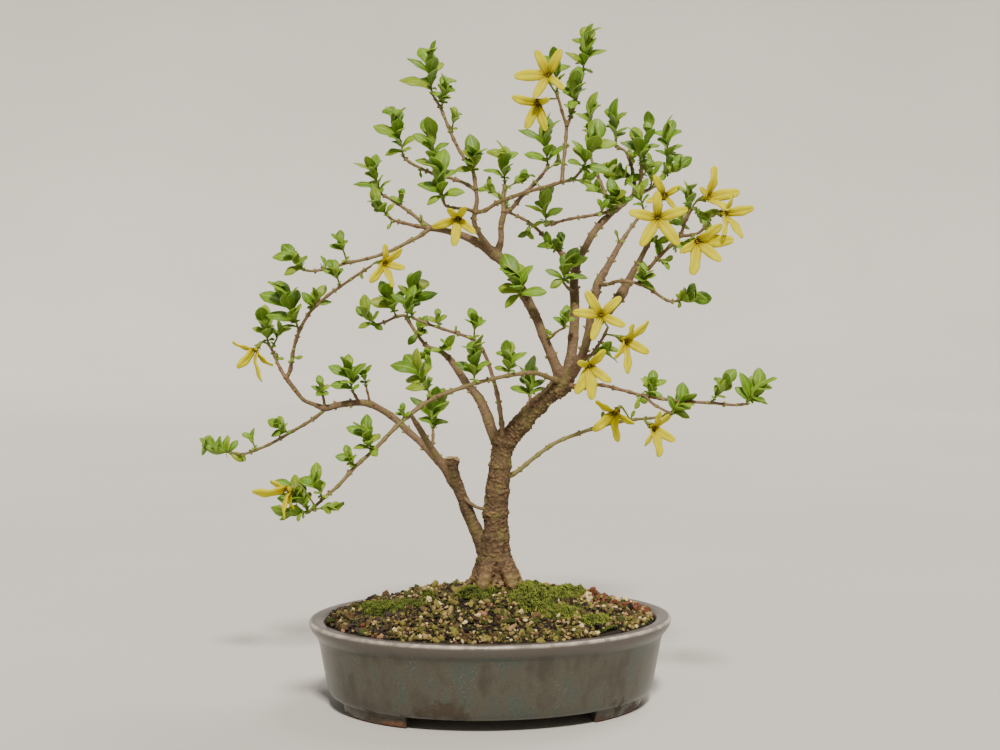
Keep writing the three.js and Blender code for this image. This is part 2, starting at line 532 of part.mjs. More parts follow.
function blade(root, along, face, length, shape, grow) {
  const side = new THREE.Vector3().crossVectors(face, along).normalize();
  const up = new THREE.Vector3().crossVectors(along, side);
  const last = shape.rows.length - 1;
  return skin(SECTION.length, shape.rows.length, (ring, turn) => {
    const [reach, broad] = shape.rows[ring];
    const point = root.clone()
      .addScaledVector(along, reach * length + (ring === last ? 2 * grow : 0))
      .addScaledVector(up, -shape.arch * length * reach * reach);
    if (ring === 0 || ring === last) return point;
    const [hand, level] = SECTION[turn];
    return point
      .addScaledVector(side, hand * ((broad * shape.width * length) / 2 + 3 * grow))
      .addScaledVector(up, level * BLADE + 1.5 * grow * Math.sign(level));
  });
}

// A leafy shoot: a soft green stem that ends in a spear of two closed leaves, and below it pairs
// of open leaves, each pair crossing the last. A short-leaved shoot has fewer open pairs.
const SPREAD = [42, 64, 80].map(THREE.MathUtils.degToRad);
const SHARE = [1.16, 1.06, 0.75];
const SPEAR = { share: 0.95, width: 0.42, thickness: 1.6 };
const TO_EYE = 0.75; // how far leaves and petals turn their faces to the front
const TO_LIGHT = 0.25; // how far leaves turn upwards
const SHOOT_RADIUS = 0.65;
const TRIANGLE = [[-1, 0.7], [1, 0.7], [0, -1.1]];

function openPairs(leaf, pairs) {
  return Math.min(pairs - 1, leaf < 8.5 ? 0 : leaf < 12.5 ? 1 : 2);
}

function shoot(base, tip, leaf, pairs, seed, grow) {
  const axis = tip.clone().sub(base);
  const total = axis.length();
  axis.normalize();
  const spear = Math.min(SPEAR.share * leaf, 0.8 * total);
  const side = new THREE.Vector3().crossVectors(SIGHT, axis).normalize();
  const across = new THREE.Vector3().crossVectors(axis, side);
  const broad = SPEAR.width * spear;
  const rows = [[0, 0, 0], [0, SHOOT_RADIUS, SHOOT_RADIUS], [total - spear, 0.45, 0.45],
    [total - 0.6 * spear, broad / 2, SPEAR.thickness / 2], [total, 0, 0]];
  const solids = [skin(3, rows.length, (ring, turn) => {
    const [reach, halfWide, halfThick] = rows[ring];
    const point = base.clone().addScaledVector(axis, reach + (ring < 2 ? -grow : ring === 4 ? grow : 0));
    if (ring === 0 || ring === rows.length - 1) return point;
    const [hand, level] = TRIANGLE[turn];
    return point.addScaledVector(side, hand * (halfWide + grow))
      .addScaledVector(across, level * (halfThick + grow));
  })];
  const open = openPairs(leaf, pairs);
  for (let pair = 0; pair < open; pair++) {
    const climb = (total - 0.92 * spear) * (1 - (0.8 * pair) / Math.max(open, 2));
    const root = base.clone().addScaledVector(axis, climb);
    const turn = (pair % 2 ? Math.PI / 2 : 0) + 0.3 + 0.5 * draw(seed);
    for (const hand of [0, Math.PI]) {
      const key = seed * 3.7 + pair * 1.9 + hand;
      const out = side.clone().applyAxisAngle(axis, turn + hand);
      const spread = SPREAD[pair] + 0.28 * (draw(key) - 0.5);
      const length = SHARE[pair] * leaf * (0.9 + 0.2 * draw(key + 5));
      const along = axis.clone().multiplyScalar(Math.cos(spread)).addScaledVector(out, Math.sin(spread))
        .addScaledVector(UP, TO_LIGHT).normalize();
      const face = axis.clone().multiplyScalar(Math.sin(spread)).addScaledVector(out, -Math.cos(spread))
        .addScaledVector(SIGHT, -TO_EYE - 0.5 * draw(key + 9));
      const shape = pair > 0 || length < LARGE ? SMALL_LEAF : LEAF;
      solids.push(blade(root, along, face, length, shape, grow));
    }
  }
  return joined(solids);
}

// Which way something faces, from its parts to the right, upwards and towards the eye.
function facing([right, up, near]) {
  return new THREE.Vector3().addScaledVector(ACROSS, right).addScaledVector(UP, up)
    .addScaledVector(SIGHT, -near).normalize();
}

const TUBE = { length: 5.5, radius: 1, mouth: 1.7 };
const CALYX = { length: 2.6, stalk: 0.6, mouth: 1.7, seat: 1.4 };

function bloomPlace(route, { knot, throat: [across, down, lean], face }) {
  const base = pointAt(route, knot);
  const depth = base.dot(SIGHT) + lean;
  return { base, depth, throat: spot([across, down, depth]), face: facing(face) };
}

// The yellow part of a bloom: a short tube that opens into narrow petals.
function corolla(route, bloom, grow) {
  const { throat, depth, face } = bloomPlace(route, bloom);
  const end = throat.clone().addScaledVector(face, -TUBE.length);
  const root = throat.clone().addScaledVector(face, -1.2);
  const petals = bloom.tips.map(([across, down, lean]) => {
    const along = spot([across, down, depth + lean]).sub(root);
    along.addScaledVector(face, PETAL.arch * along.length());
    const length = along.length();
    const turned = face.clone().addScaledVector(SIGHT, -TO_EYE);
    return blade(root, along.normalize(), turned, length, PETAL, grow);
  });
  return joined([rod(end, throat, TUBE.radius, TUBE.mouth, 4, grow), ...petals]);
}

// The green stalk and calyx that a bloom sits in.
function stalk(route, bloom, grow) {
  const { base, throat, face } = bloomPlace(route, bloom);
  const foot = throat.clone().addScaledVector(face, -TUBE.length - CALYX.length + CALYX.seat);
  const mouth = throat.clone().addScaledVector(face, -TUBE.length + CALYX.seat);
  return joined([
    rod(base, foot, CALYX.stalk, CALYX.stalk, 4, grow),
    rod(foot, mouth, CALYX.stalk, CALYX.mouth, 4, grow),
  ]);
}

// One leafy stem with its shoots and the stalks of its blooms.
function leafyStem(twigs, seed, grow) {
  const solids = [];
  twigs.forEach(({ route, shoots, blooms = [] }, twig) => {
    solids.push(stem(route, { grow }));
    shoots.forEach(([knot, across, down, lean, leaf, pairs], i) => {
      const base = pointAt(route, knot);
      const tip = spot([across, down, base.dot(SIGHT) + lean]);
      solids.push(shoot(base, tip, leaf, pairs, seed + 10 * twig + i, grow));
    });
    blooms.forEach((bloom) => solids.push(stalk(route, bloom, grow)));
  });
  return joined(solids);
}

// The oval's half width where its half length is as given.
const OVAL = { difference: (POT.length - POT.width) / 2, straight: 70 };
function halfWidth(halfLength) {
  return halfLength > OVAL.straight
    ? halfLength - OVAL.difference
    : halfLength * (1 - OVAL.difference / OVAL.straight);
}

// A solid turned from a profile of [half length, height] and drawn in to the pot's oval.
function oval(profile, lift = () => 0) {
  const points = profile.map(([x, z]) => new THREE.Vector2(x, z));
  const geometry = new THREE.LatheGeometry(points, POT.sides).rotateX(Math.PI / 2);
  const { position } = geometry.attributes;
  for (let i = 0; i < position.count; i++) {
    const [x, y, z] = [position.getX(i), position.getY(i), position.getZ(i)];
    const radius = Math.hypot(x, y);
    const squeeze = radius > 0 ? halfWidth(radius) / radius : 1;
    position.setXYZ(i, x, y * squeeze, z + lift(x, y * squeeze, z));
  }
  return solidOf(geometry);
}

function innerProfile(gap) {
  const top = POT.length / 2 - LIP.width;
  const base = POT.baseLength / 2;
  const floor = POT.foot + POT.floor + gap;
  const profile = [[base - 12, floor], [base - 7, floor + 0.8], [base - 4.6, floor + 4.4],
    [top - 2, 38], [top - 0.4, 44.6]];
  return profile.map(([x, z]) => [x - gap, z]);
}

// The pot: one fired piece, with an everted lip, a bevelled base and four feet.
function pot() {
  const half = POT.length / 2;
  const base = POT.baseLength / 2;
  const under = POT.height - LIP.height;
  const outer = [[0, POT.foot], [base - 4, POT.foot], [base - 1.2, POT.foot + 0.5],
    [base + 0.8, POT.foot + 2.2], [base + 1.9, POT.foot + 4.8], [half - 4.7, under - 3.6],
    [half - 2.8, under - 1.6], [half - 1, under + 0.8], [half, POT.height - 1.4],
    [half - 0.6, POT.height - 0.4], [half - 2.2, POT.height], [half - LIP.width + 1.8, POT.height - 0.4],
    [half - LIP.width + 0.4, POT.height - 1.4]];
  const inner = innerProfile(0).reverse();
  const body = oval([...outer, ...inner, [0, POT.foot + POT.floor]]);
  const drains = [-1, 1].map((hand) => solidOf(
    new THREE.CylinderGeometry(DRAIN.radius, DRAIN.radius, 3 * POT.floor, 16)
      .rotateX(Math.PI / 2).translate(hand * DRAIN.fromCentre, 0, POT.foot + POT.floor / 2)));
  const feet = [0, 1, 2, 3].map(foot);
  return joined([body, ...feet]).subtract(joined(drains));
}

// One of the four feet: a short arc of the oval's edge.
function foot(quarter) {
  const outline = [];
  const steps = 5;
  const [right, front] = [[1, -1], [-1, -1], [-1, 1], [1, 1]][quarter];
  const corner = (inset, degrees) => {
    const half = POT.baseLength / 2 - inset;
    const angle = THREE.MathUtils.degToRad(degrees);
    return new THREE.Vector2(right * half * Math.sin(angle), front * halfWidth(half) * Math.cos(angle));
  };
  const { lerp } = THREE.MathUtils;
  for (let i = 0; i <= steps; i++) {
    outline.push(corner(FOOT.inset, lerp(FOOT.from, FOOT.to, i / steps)));
  }
  for (let i = steps; i >= 0; i--) {
    outline.push(corner(FOOT.inset + FOOT.depth, lerp(FOOT.from + 6, FOOT.to - 2, i / steps)));
  }
  const tall = { depth: POT.foot + 2, bevelEnabled: false };
  return solidOf(new THREE.ExtrudeGeometry(new THREE.Shape(outline), tall));
}

// How high the soil stands, with its granules as relief.
function soilHeight(x, y) {
  const half = POT.length / 2 - LIP.width;
  const edge = Math.min(Math.hypot(x / half, y / halfWidth(half)), 1);
  const collar = Math.max(1 - Math.hypot(x, y) / MOUND.collarRadius, 0);
  const grain = GRANULE * (2 * draw(x * 1.7 + y * 3.3) - 1) * (edge < 0.97 ? 1 : 0);
  return MOUND.edge + MOUND.rise * (1 - edge ** MOUND.power) + MOUND.collar * collar * collar + grain;
}

// The soil: it fills the pot and rises in a mound to the trunk.
function soil(grow) {
  const half = POT.length / 2 - LIP.width - 0.4 - GAP;
  const rings = 9;
  const top = [...Array(rings).keys()].map((i) => [half * 0.98 * (1 - i / (rings - 1)), MOUND.edge]);
  const wall = innerProfile(GAP);
  const belowTop = (MOUND.wall + MOUND.edge) / 2;
  return oval([[0, wall[0][1]], ...wall, [half, MOUND.wall], ...top], (x, y, z) =>
    z > belowTop ? soilHeight(x, y) - MOUND.edge + grow : 0);
}

// A moss cushion, sunk into the soil before it is trimmed to it.
function cushion([x, y, halfLong, halfWide, height, turn]) {
  const domed = new THREE.SphereGeometry(1, 11, 6);
  const { position } = domed.attributes;
  for (let i = 0; i < position.count; i++) {
    const [px, py, pz] = [position.getX(i), position.getY(i), position.getZ(i)];
    const [kx, ky, kz] = [px, py, pz].map((value) => Math.round(value * 50));
    const tuft = 1 + 0.09 * (2 * draw(kx + 3.1 * ky + 1.7 * kz) - 1);
    position.setXYZ(i, px * tuft, py * tuft, pz * tuft);
  }
  domed.scale(halfLong, halfWide, height).rotateZ(THREE.MathUtils.degToRad(turn));
  return solidOf(domed.translate(x, y, soilHeight(x, y) - 0.2));
}

// The plastic mesh that keeps the soil from the drain holes.
function screen(hand, grow) {
  const size = DRAIN.screen + 2 * grow;
  const place = [hand * DRAIN.fromCentre, 0, POT.foot + POT.floor + GAP + DRAIN.thickness / 2];
  const sheet = solidOf(new THREE.BoxGeometry(size, size, DRAIN.thickness + 2 * grow).translate(...place));
  if (grow > 0) return sheet;
  const first = (-(DRAIN.rows - 1) / 2) * DRAIN.pitch;
  const holes = [...Array(DRAIN.rows * DRAIN.rows).keys()].map((i) => {
    const across = first + (i % DRAIN.rows) * DRAIN.pitch;
    const along = first + Math.floor(i / DRAIN.rows) * DRAIN.pitch;
    return solidOf(new THREE.BoxGeometry(DRAIN.hole, DRAIN.hole, 3 * DRAIN.thickness)
      .translate(...place).translate(across, along, 0));
  });
  return sheet.subtract(joined(holes));
}

function woodParts(grow) {
  const limbs = Object.values(WOOD).map(({ route, sides, relief }) =>
    stem(route, { sides, relief, grow, rings: Math.round((sides > 8 ? 1.2 : 0.8) * route.length) }));
  const roots = ROOTS.map((route) => stem(route, { sides: 6, relief: 0.08, grow, rings: 4 }));
  return joined([...limbs, ...roots]);
}

function meshOf(name, solid, colour) {
  const { numProp, vertProperties, triVerts } = solid.getMesh();
  const geometry = new THREE.BufferGeometry();
  const position = [];
  for (let i = 0; i < vertProperties.length; i += numProp) position.push(...vertProperties.slice(i, i + 3));
  geometry.setAttribute("position", new THREE.Float32BufferAttribute(position, 3));
  geometry.setIndex([...triVerts]);
  geometry.computeVertexNormals();
  const mesh = new THREE.Mesh(geometry, new THREE.MeshStandardMaterial(COLOURS[colour]));
  mesh.name = name;
  return mesh;
}

// Puts the pieces together, each trimmed to a gap from what was placed before it.
function build() {
  const group = new THREE.Group();
  const wood = woodParts(0);
  const woodRoom = woodParts(GAP);
  const soilRoom = soil(GAP);
  group.add(meshOf("pot", pot(), "glaze"));
  const screens = { drain_screen_left: -1, drain_screen_right: 1 };
  let bed = soil(0).subtract(woodRoom);
  for (const [name, hand] of Object.entries(screens)) {
    group.add(meshOf(name, screen(hand, 0), "mesh"));
    bed = bed.subtract(screen(hand, GAP));
  }
  group.add(meshOf("soil", mainBody(bed), "soil"));
  let mossRoom = null;
  for (const [name, cushions] of Object.entries(MOSS)) {
    const lump = joined(cushions.map(cushion));
    const seated = lump.subtract(soilRoom).subtract(woodRoom);
    group.add(meshOf(name, mainBody(seated), "moss"));
    mossRoom = mossRoom ? mossRoom.add(lump) : lump;
  }
  group.add(meshOf("wood", mainBody(wood.simplify(SLIVER)), "bark"));
  const taken = [woodRoom];
  const place = (name, solid, room, colour) => {
    const trimmed = taken.reduce((left, other) => left.subtract(other), solid);
    group.add(meshOf(name, mainBody(trimmed.simplify(SLIVER)), colour));
    taken.push(room);
  };
  const stems = Object.entries(STEMS);
  stems.forEach(([name, twigs], i) => {
    const seed = 100 * (i + 1);
    place(name, leafyStem(twigs, seed, 0), leafyStem(twigs, seed, GAP), "leaf");
  });
  let number = 0;
  for (const { route, blooms = [] } of stems.flatMap(([, twigs]) => twigs)) {
    for (const bloom of blooms) {
      number += 1;
      const name = `bloom_${String(number).padStart(2, "0")}`;
      place(name, corolla(route, bloom, 0), corolla(route, bloom, GAP), "petal");
    }
  }
  const box = new THREE.Box3().setFromObject(group);
  const middle = box.getCenter(new THREE.Vector3());
  group.position.set(-middle.x, -middle.y, -box.min.z);
  return group;
}

export default build();
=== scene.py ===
"""The looks of a small forsythia bonsai in early leaf and bloom, in its glazed oval pot.

The wood, the leafy stems and the blooms are laid out on a front view, as in the part's own source:
a spot is [across, down, depth] on a sheet of 1000 by 750 pixels, with the depth in millimetres
behind the trunk. Everything else is in real sizes.
"""

import logging
import math
from collections.abc import Callable
from dataclasses import dataclass, field
from enum import Enum
from typing import NamedTuple

import bmesh
import bpy
from bmesh.types import BMesh
from bpy.types import ID, Material, Mesh, Node, NodeSocket, Object
from mathutils import Matrix, Vector, noise
from mathutils.kdtree import KDTree


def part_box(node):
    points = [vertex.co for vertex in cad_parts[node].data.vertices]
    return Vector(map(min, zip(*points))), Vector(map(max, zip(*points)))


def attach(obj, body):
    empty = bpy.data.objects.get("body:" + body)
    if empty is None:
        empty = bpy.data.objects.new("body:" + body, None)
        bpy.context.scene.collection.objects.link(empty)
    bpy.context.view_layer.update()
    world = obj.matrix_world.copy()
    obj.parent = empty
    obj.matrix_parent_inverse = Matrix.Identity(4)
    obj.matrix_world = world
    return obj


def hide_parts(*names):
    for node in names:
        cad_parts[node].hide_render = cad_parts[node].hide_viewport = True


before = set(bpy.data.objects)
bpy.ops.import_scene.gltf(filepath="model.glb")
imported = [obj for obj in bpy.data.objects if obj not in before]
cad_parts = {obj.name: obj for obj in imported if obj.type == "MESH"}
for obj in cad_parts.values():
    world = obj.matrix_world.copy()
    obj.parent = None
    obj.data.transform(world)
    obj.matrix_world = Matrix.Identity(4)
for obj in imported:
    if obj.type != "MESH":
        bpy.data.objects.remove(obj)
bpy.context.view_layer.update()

logging.basicConfig(level=logging.INFO, format="%(message)s")
LOG = logging.getLogger("bonsai")

MM = 0.001
WELD = 0.001  # how near points are merged, in the units that a shape is made in
UP = Vector((0, 0, 1))
FRONT_TURN = math.radians(-6.6)  # from the pot's long side to the tree's front
SIGHT = Matrix.Rotation(FRONT_TURN, 3, "Z") @ Vector((0, 1, 0))
ACROSS = Matrix.Rotation(FRONT_TURN, 3, "Z") @ Vector((1, 0, 0))

SHEET = {"across": 500, "down": 375, "focal": 1571}  # pixels
EYE = {"right": 4.9, "distance": 860, "height": 226, "pitch": math.radians(3)}  # millimetres
POT_LOW, POT_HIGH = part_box("pot")
MIDDLE = Vector(((POT_LOW[0] + POT_HIGH[0]) / 2, (POT_LOW[1] + POT_HIGH[1]) / 2, 0))


def spot(place: list[float]) -> Vector:
    """Finds where a spot of the front view is.

    Args:
        place: Across and down in pixels, and the depth behind the trunk in millimetres.

    Returns:
        The point in metres, in the part's frame.
    """
    right = (place[0] - SHEET["across"]) / SHEET["focal"]
    up = (SHEET["down"] - place[1]) / SHEET["focal"]
    forward = math.cos(EYE["pitch"]) + up * math.sin(EYE["pitch"])
    rise = up * math.cos(EYE["pitch"]) - math.sin(EYE["pitch"])
    reach = (EYE["distance"] + place[2]) / forward
    point = Vector((EYE["right"] + reach * right, place[2], EYE["height"] + reach * rise))
    return Matrix.Rotation(FRONT_TURN, 3, "Z") @ point * MM + MIDDLE


def seen(point: Vector) -> tuple[float, float]:
    """Finds where a point is seen on the front view.

    Args:
        point: The point in metres, in the part's frame.

    Returns:
        Its pixels across and down.
    """
    local = Matrix.Rotation(-FRONT_TURN, 3, "Z") @ ((point - MIDDLE) / MM)
    away = local.y + EYE["distance"]
    rise = local.z - EYE["height"]
    forward = away * math.cos(EYE["pitch"]) - rise * math.sin(EYE["pitch"])
    up = away * math.sin(EYE["pitch"]) + rise * math.cos(EYE["pitch"])
    return (SHEET["across"] + SHEET["focal"] * (local.x - EYE["right"]) / forward,
            SHEET["down"] - SHEET["focal"] * up / forward)


def depth_of(point: Vector) -> float:
    """Gives a point's depth behind the trunk, in millimetres."""
    return (point - MIDDLE).dot(SIGHT) / MM


def draw(seed: float) -> float:
    """Gives a repeatable draw from 0 to 1."""
    wave = math.sin(seed * 127.1 + 11.7) * 43758.5453
    return wave - math.floor(wave)


def blend(start: float, end: float, share: float) -> float:
    """Gives the value that lies between two others at a share of the way."""
    return start + (end - start) * share


def step(low: float, high: float, value: float) -> float:
    """Gives 0 below low, 1 above high and a smooth rise between them."""
    share = min(max((value - low) / (high - low), 0), 1)
    return share * share * (3 - 2 * share)


def waver(x: float, y: float, z: float) -> float:
    """Gives a smooth noise of about -1 to 1 at a place."""
    return noise.noise(Vector((x, y, z)))


def facing(parts: list[float]) -> Vector:
    """Gives a direction from its parts to the right, upwards and towards the eye."""
    right, up, near = parts
    return (ACROSS * right + UP * up - SIGHT * near).normalized()


class Slot(Enum):
    """The record's material slots, passed along with new pieces but not used by them."""

    GLAZE = "glaze"
    SOIL = "soil"
    MOSS = "moss"
    BARK = "bark"
    LEAF = "leaf"
    PETAL = "petal"


@dataclass
class Line:
    """A smooth line through points, with a radius at each of them."""

    points: list[Vector]
    radii: list[float]

    @classmethod
    def through(cls, knots: list[list[float]]) -> "Line":
        """Makes the line of a route of knots, each across, down, depth and radius."""
        return cls([spot(knot) for knot in knots], [knot[3] * MM for knot in knots])

    def point(self, share: float) -> Vector:
        """Finds the point at a share of the way along the line.

        Args:
            share: From 0 at the first knot to 1 at the last, even from knot to knot.

        Returns:
            The point in metres.
        """
        points = self.points
        place = min(max(share, 0), 1) * (len(points) - 1)
        knot = min(int(place), len(points) - 2)
        before = points[knot - 1] if knot > 0 else 2 * points[0] - points[1]
        start, end = points[knot], points[knot + 1]
        after = points[knot + 2] if knot + 2 < len(points) else 2 * points[-1] - points[-2]
        first, span, last = [max(math.sqrt((b - a).length), 1e-6) for a, b in
                             ((before, start), (start, end), (end, after))]
        leave = (start - before) / first - (end - before) / (first + span) + (end - start) / span
        arrive = (end - start) / span - (after - start) / (span + last) + (after - end) / last
        leave, arrive = leave * span, arrive * span
        t = place - knot
        return (start + t * leave + t * t * (3 * (end - start) - 2 * leave - arrive)
                + t ** 3 * (2 * (start - end) + leave + arrive))

    def radius(self, share: float) -> float:
        """Gives the radius at a place.

        Args:
            share: From 0 at the first knot to 1 at the last.

        Returns:
            The radius in metres.
        """
        place = min(max(share, 0), 1) * (len(self.radii) - 1)
        knot = min(int(place), len(self.radii) - 2)
        return blend(self.radii[knot], self.radii[knot + 1], place - knot)

    def at_knot(self, knot: float) -> Vector:
        """Gives the point at a knot, which may be part of the way to the next."""
        return self.point(knot / (len(self.points) - 1))

    def heading(self, share: float) -> Vector:
        """Gives the way that the line runs at a share of its length."""
        return (self.point(min(share + 0.01, 1)) - self.point(max(share - 0.01, 0))).normalized()

    def length(self) -> float:
        """Gives the line's length in metres."""
        marks = [self.point(i / 60) for i in range(61)]
        return sum((b - a).length for a, b in zip(marks, marks[1:]))


class Piece:
    """A mesh that is put together from shapes, each with its finish and its own coordinates.

    Its points carry three attributes: grain, a place along and round a stem or on a blade in
    millimetres or shares, tone, a draw or share that varies the colour, and kind, which tells an
    underside or a cut end from the rest.
    """

    scratch: Mesh | None = None

    def __init__(self, name: str, finishes: list[Material]) -> None:
        """Starts an empty piece.

        Args:
            name: The piece's name.
            finishes: Its materials, in the order that shapes name them by number.
        """
        self.name = name
        self.finishes = finishes
        self.bm = Piece.blank()

    @staticmethod
    def blank() -> BMesh:
        """Starts a mesh.

        Returns:
            An empty mesh with the three attributes.
        """
        bm = bmesh.new()
        bm.verts.layers.float_vector.new("grain")
        bm.verts.layers.float.new("tone")
        bm.verts.layers.float.new("kind")
        return bm

    def add(self, shape: BMesh, finish: int = 0) -> None:
        """Adds a finished shape, which is used up.

        Args:
            shape: The shape's mesh.
            finish: The place of its material in the piece's list.
        """
        if Piece.scratch is None:
            Piece.scratch = bpy.data.meshes.new("scratch")
        for face in shape.faces:
            face.material_index = finish
            face.smooth = True
        shape.to_mesh(Piece.scratch)
        shape.free()
        self.bm.from_mesh(Piece.scratch)

    def mesh(self) -> Mesh:
        """Turns what was added into a mesh.

        Returns:
            The mesh, with its faces pointing outwards.
        """
        bmesh.ops.recalc_face_normals(self.bm, faces=self.bm.faces[:])
        mesh = bpy.data.meshes.new(self.name)
        self.bm.to_mesh(mesh)
        self.bm.free()
        return mesh

    def finish(self, slot: Slot, nodes: list[str]) -> Object:
        """Makes the piece's object, at the origin, riding on the part's one body.

        Args:
            slot: The record's material slot.
            nodes: The solids that the piece stands for.

        Returns:
            The object.
        """
        return place(self.name, self.mesh(), self.finishes, slot, nodes)


def place(name: str, mesh: Mesh, finishes: list[Material], slot: Slot,
          nodes: list[str]) -> Object:
    """Puts a finished mesh into the scene.

    Args:
        name: The piece's name.
        mesh: Its mesh, in metres and in place.
        finishes: Its materials.
        slot: The record's material slot; not used.
        nodes: The solids that the piece stands for.

    Returns:
        The object.
    """
    piece = show(name, mesh)
    for finish in finishes:
        piece.data.materials.append(finish)
    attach(piece, "root")
    if nodes:
        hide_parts(*nodes)
    piece.data.calc_loop_triangles()
    LOG.info("%s: %d triangles", name, len(piece.data.loop_triangles))
    return piece


def show(name: str, data: ID) -> Object:
    """Puts a mesh, a lamp or a camera into the scene.

    Args:
        name: The new object's name.
        data: What it shows.

    Returns:
        The object.
    """
    item = bpy.data.objects.new(name, data)
    bpy.context.scene.collection.objects.link(item)
    return item


def applied(item: Object) -> Mesh:
    """Applies an object's modifiers and removes the object.

    Args:
        item: The object.

    Returns:
        A new mesh of its final shape.
    """
    bpy.context.view_layer.update()
    ready = item.evaluated_get(bpy.context.evaluated_depsgraph_get())
    mesh = bpy.data.meshes.new_from_object(ready)
    bpy.data.objects.remove(item)
    return mesh


def take(bm: BMesh, mesh: Mesh) -> None:
    """Moves a mesh's shape into another mesh under way."""
    bm.from_mesh(mesh)
    bpy.data.meshes.remove(mesh)


# Shapes

TEMPLATES: dict[tuple, BMesh] = {}


def copy_of(key: tuple, make: Callable[[BMesh], None]) -> BMesh:
    """Gives a fresh copy of a plain shape, which is made the first time.

    Args:
        key: The shape's name and counts.
        make: Makes the shape in an empty mesh.

    Returns:
        The copy.
    """
    if key not in TEMPLATES:
        TEMPLATES[key] = Piece.blank()
        make(TEMPLATES[key])
    return TEMPLATES[key].copy()


def paint(shape: BMesh, name: str, value: float) -> None:
    """Sets one of a shape's attributes all over it.

    Args:
        shape: The shape.
        name: "tone" or "kind".
        value: Its value.
    """
    layer = shape.verts.layers.float[name]
    for vert in shape.verts:
        vert[layer] = value


def spin_round(bm: BMesh, profile: list[tuple[float, float]], steps: int) -> None:
    """Spins a profile round the upright axis.

    Args:
        bm: The empty mesh that takes the shape.
        profile: Points of reach and height, from the axis.
        steps: How many steps the full turn has.
    """
    corners = [bm.verts.new((reach, 0, height)) for reach, height in profile]
    for first, second in zip(corners, corners[1:]):
        bm.edges.new((first, second))
    bmesh.ops.spin(bm, geom=bm.verts[:] + bm.edges[:], cent=(0, 0, 0), axis=UP, dvec=(0, 0, 0),
                   angle=math.tau, steps=steps, use_merge=True, use_duplicate=False)
    bmesh.ops.remove_doubles(bm, verts=bm.verts[:], dist=WELD)


def tube(line: Line, sides: int, rings: int, tone: float,
         swell: Callable[[float, float], float] = lambda along, turn: 1.0,
         start: Vector | None = None) -> BMesh:
    """Makes a tapering stem along a line.

    Args:
        line: The stem's middle and its radii.
        sides: How many sides it has.
        rings: How many rings of points it has along it.
        tone: The draw that varies its colour.
        swell: Gives the share of the radius at a distance along and a turn round the stem.
        start: A direction to measure the turn from.

    Returns:
        The closed shape, with its grain along and round the stem in millimetres.
    """

    def straight(bm: BMesh) -> None:
        """Makes a straight rod of radius and half length 1, with even rings.

        Args:
            bm: The empty mesh that takes it.
        """
        bmesh.ops.create_cone(bm, cap_ends=True, segments=sides, radius1=1, radius2=1, depth=2)
        runs = [e for e in bm.edges if abs(e.verts[0].co.z - e.verts[1].co.z) > 1]
        bmesh.ops.subdivide_edges(bm, edges=runs, cuts=rings - 2)

    shape = copy_of(("tube", sides, rings), straight)
    middles = [line.point(i / (rings - 1)) for i in range(rings)]
    ways = [line.heading(i / (rings - 1)) for i in range(rings)]
    side = (start or ways[0].cross(SIGHT)).normalized()
    frames = []
    for way in ways:
        side = (side - way * side.dot(way)).normalized()
        frames.append((side, way.cross(side)))
    travelled = [0.0]
    for near, far in zip(middles, middles[1:]):
        travelled.append(travelled[-1] + (far - near).length)
    layers = shape.verts.layers
    grain, shade = layers.float_vector["grain"], layers.float["tone"]
    for vert in shape.verts:
        ring = round((vert.co.z + 1) / 2 * (rings - 1))
        turn = math.atan2(vert.co.y, vert.co.x)
        radius = line.radius(ring / (rings - 1)) * swell(travelled[ring] / MM, turn)
        first, second = frames[ring]
        out = first * math.cos(turn) + second * math.sin(turn)
        vert.co = middles[ring] + out * radius
        across = line.radius(ring / (rings - 1)) / MM
        vert[grain] = (math.cos(turn) * across, math.sin(turn) * across, travelled[ring] / MM)
        vert[shade] = tone
    return shape


def rod(start: Vector, end: Vector, radii: list[float], sides: int, tone: float) -> BMesh:
    """Makes a straight stem.

    Args:
        start: Where it starts.
        end: Where it ends.
        radii: Its radii in millimetres, evenly spaced along it.
        sides: How many sides it has.
        tone: The draw that varies its colour.

    Returns:
        The closed shape.
    """
    points = [start.lerp(end, i / (len(radii) - 1)) for i in range(len(radii))]
    axis = (end - start).normalized()
    side = axis.cross(ACROSS if abs(axis.z) > 0.9 else UP)
    line = Line(points, [radius * MM for radius in radii])
    return tube(line, sides, 2 * len(radii) - 1, tone, start=side)


@dataclass(frozen=True)
class BladeForm:
    """The form of a leaf or petal. Shares are of its length, and fold and curl of its half width."""

    width: float
    rise: float  # how early it widens: the exponent at its foot
    fall: float  # how bluntly it ends: the exponent at its tip
    neck: float  # the least share of its width, towards its foot
    arch: float  # how far its middle bows towards its face
    fold: float  # how far its halves are folded up along the rib
    curl: float  # how far its edges roll back down
    ripple: float  # how far its edges wave
    thickness: float  # millimetres
    across: int
    along: int
    crowd: float = 1.3  # how far its rows crowd towards its tip

    def outline(self, share: float) -> float:
        """Gives the blade's outline.

        Args:
            share: A share of its length, from its foot.

        Returns:
            The share of its full width there.
        """
        peak = self.rise / (self.rise + self.fall)
        most = peak ** self.rise * (1 - peak) ** self.fall
        body = share ** self.rise * (1 - share) ** self.fall / most
        return max(body, self.neck * (1 - step(0.15, 0.4, share)))


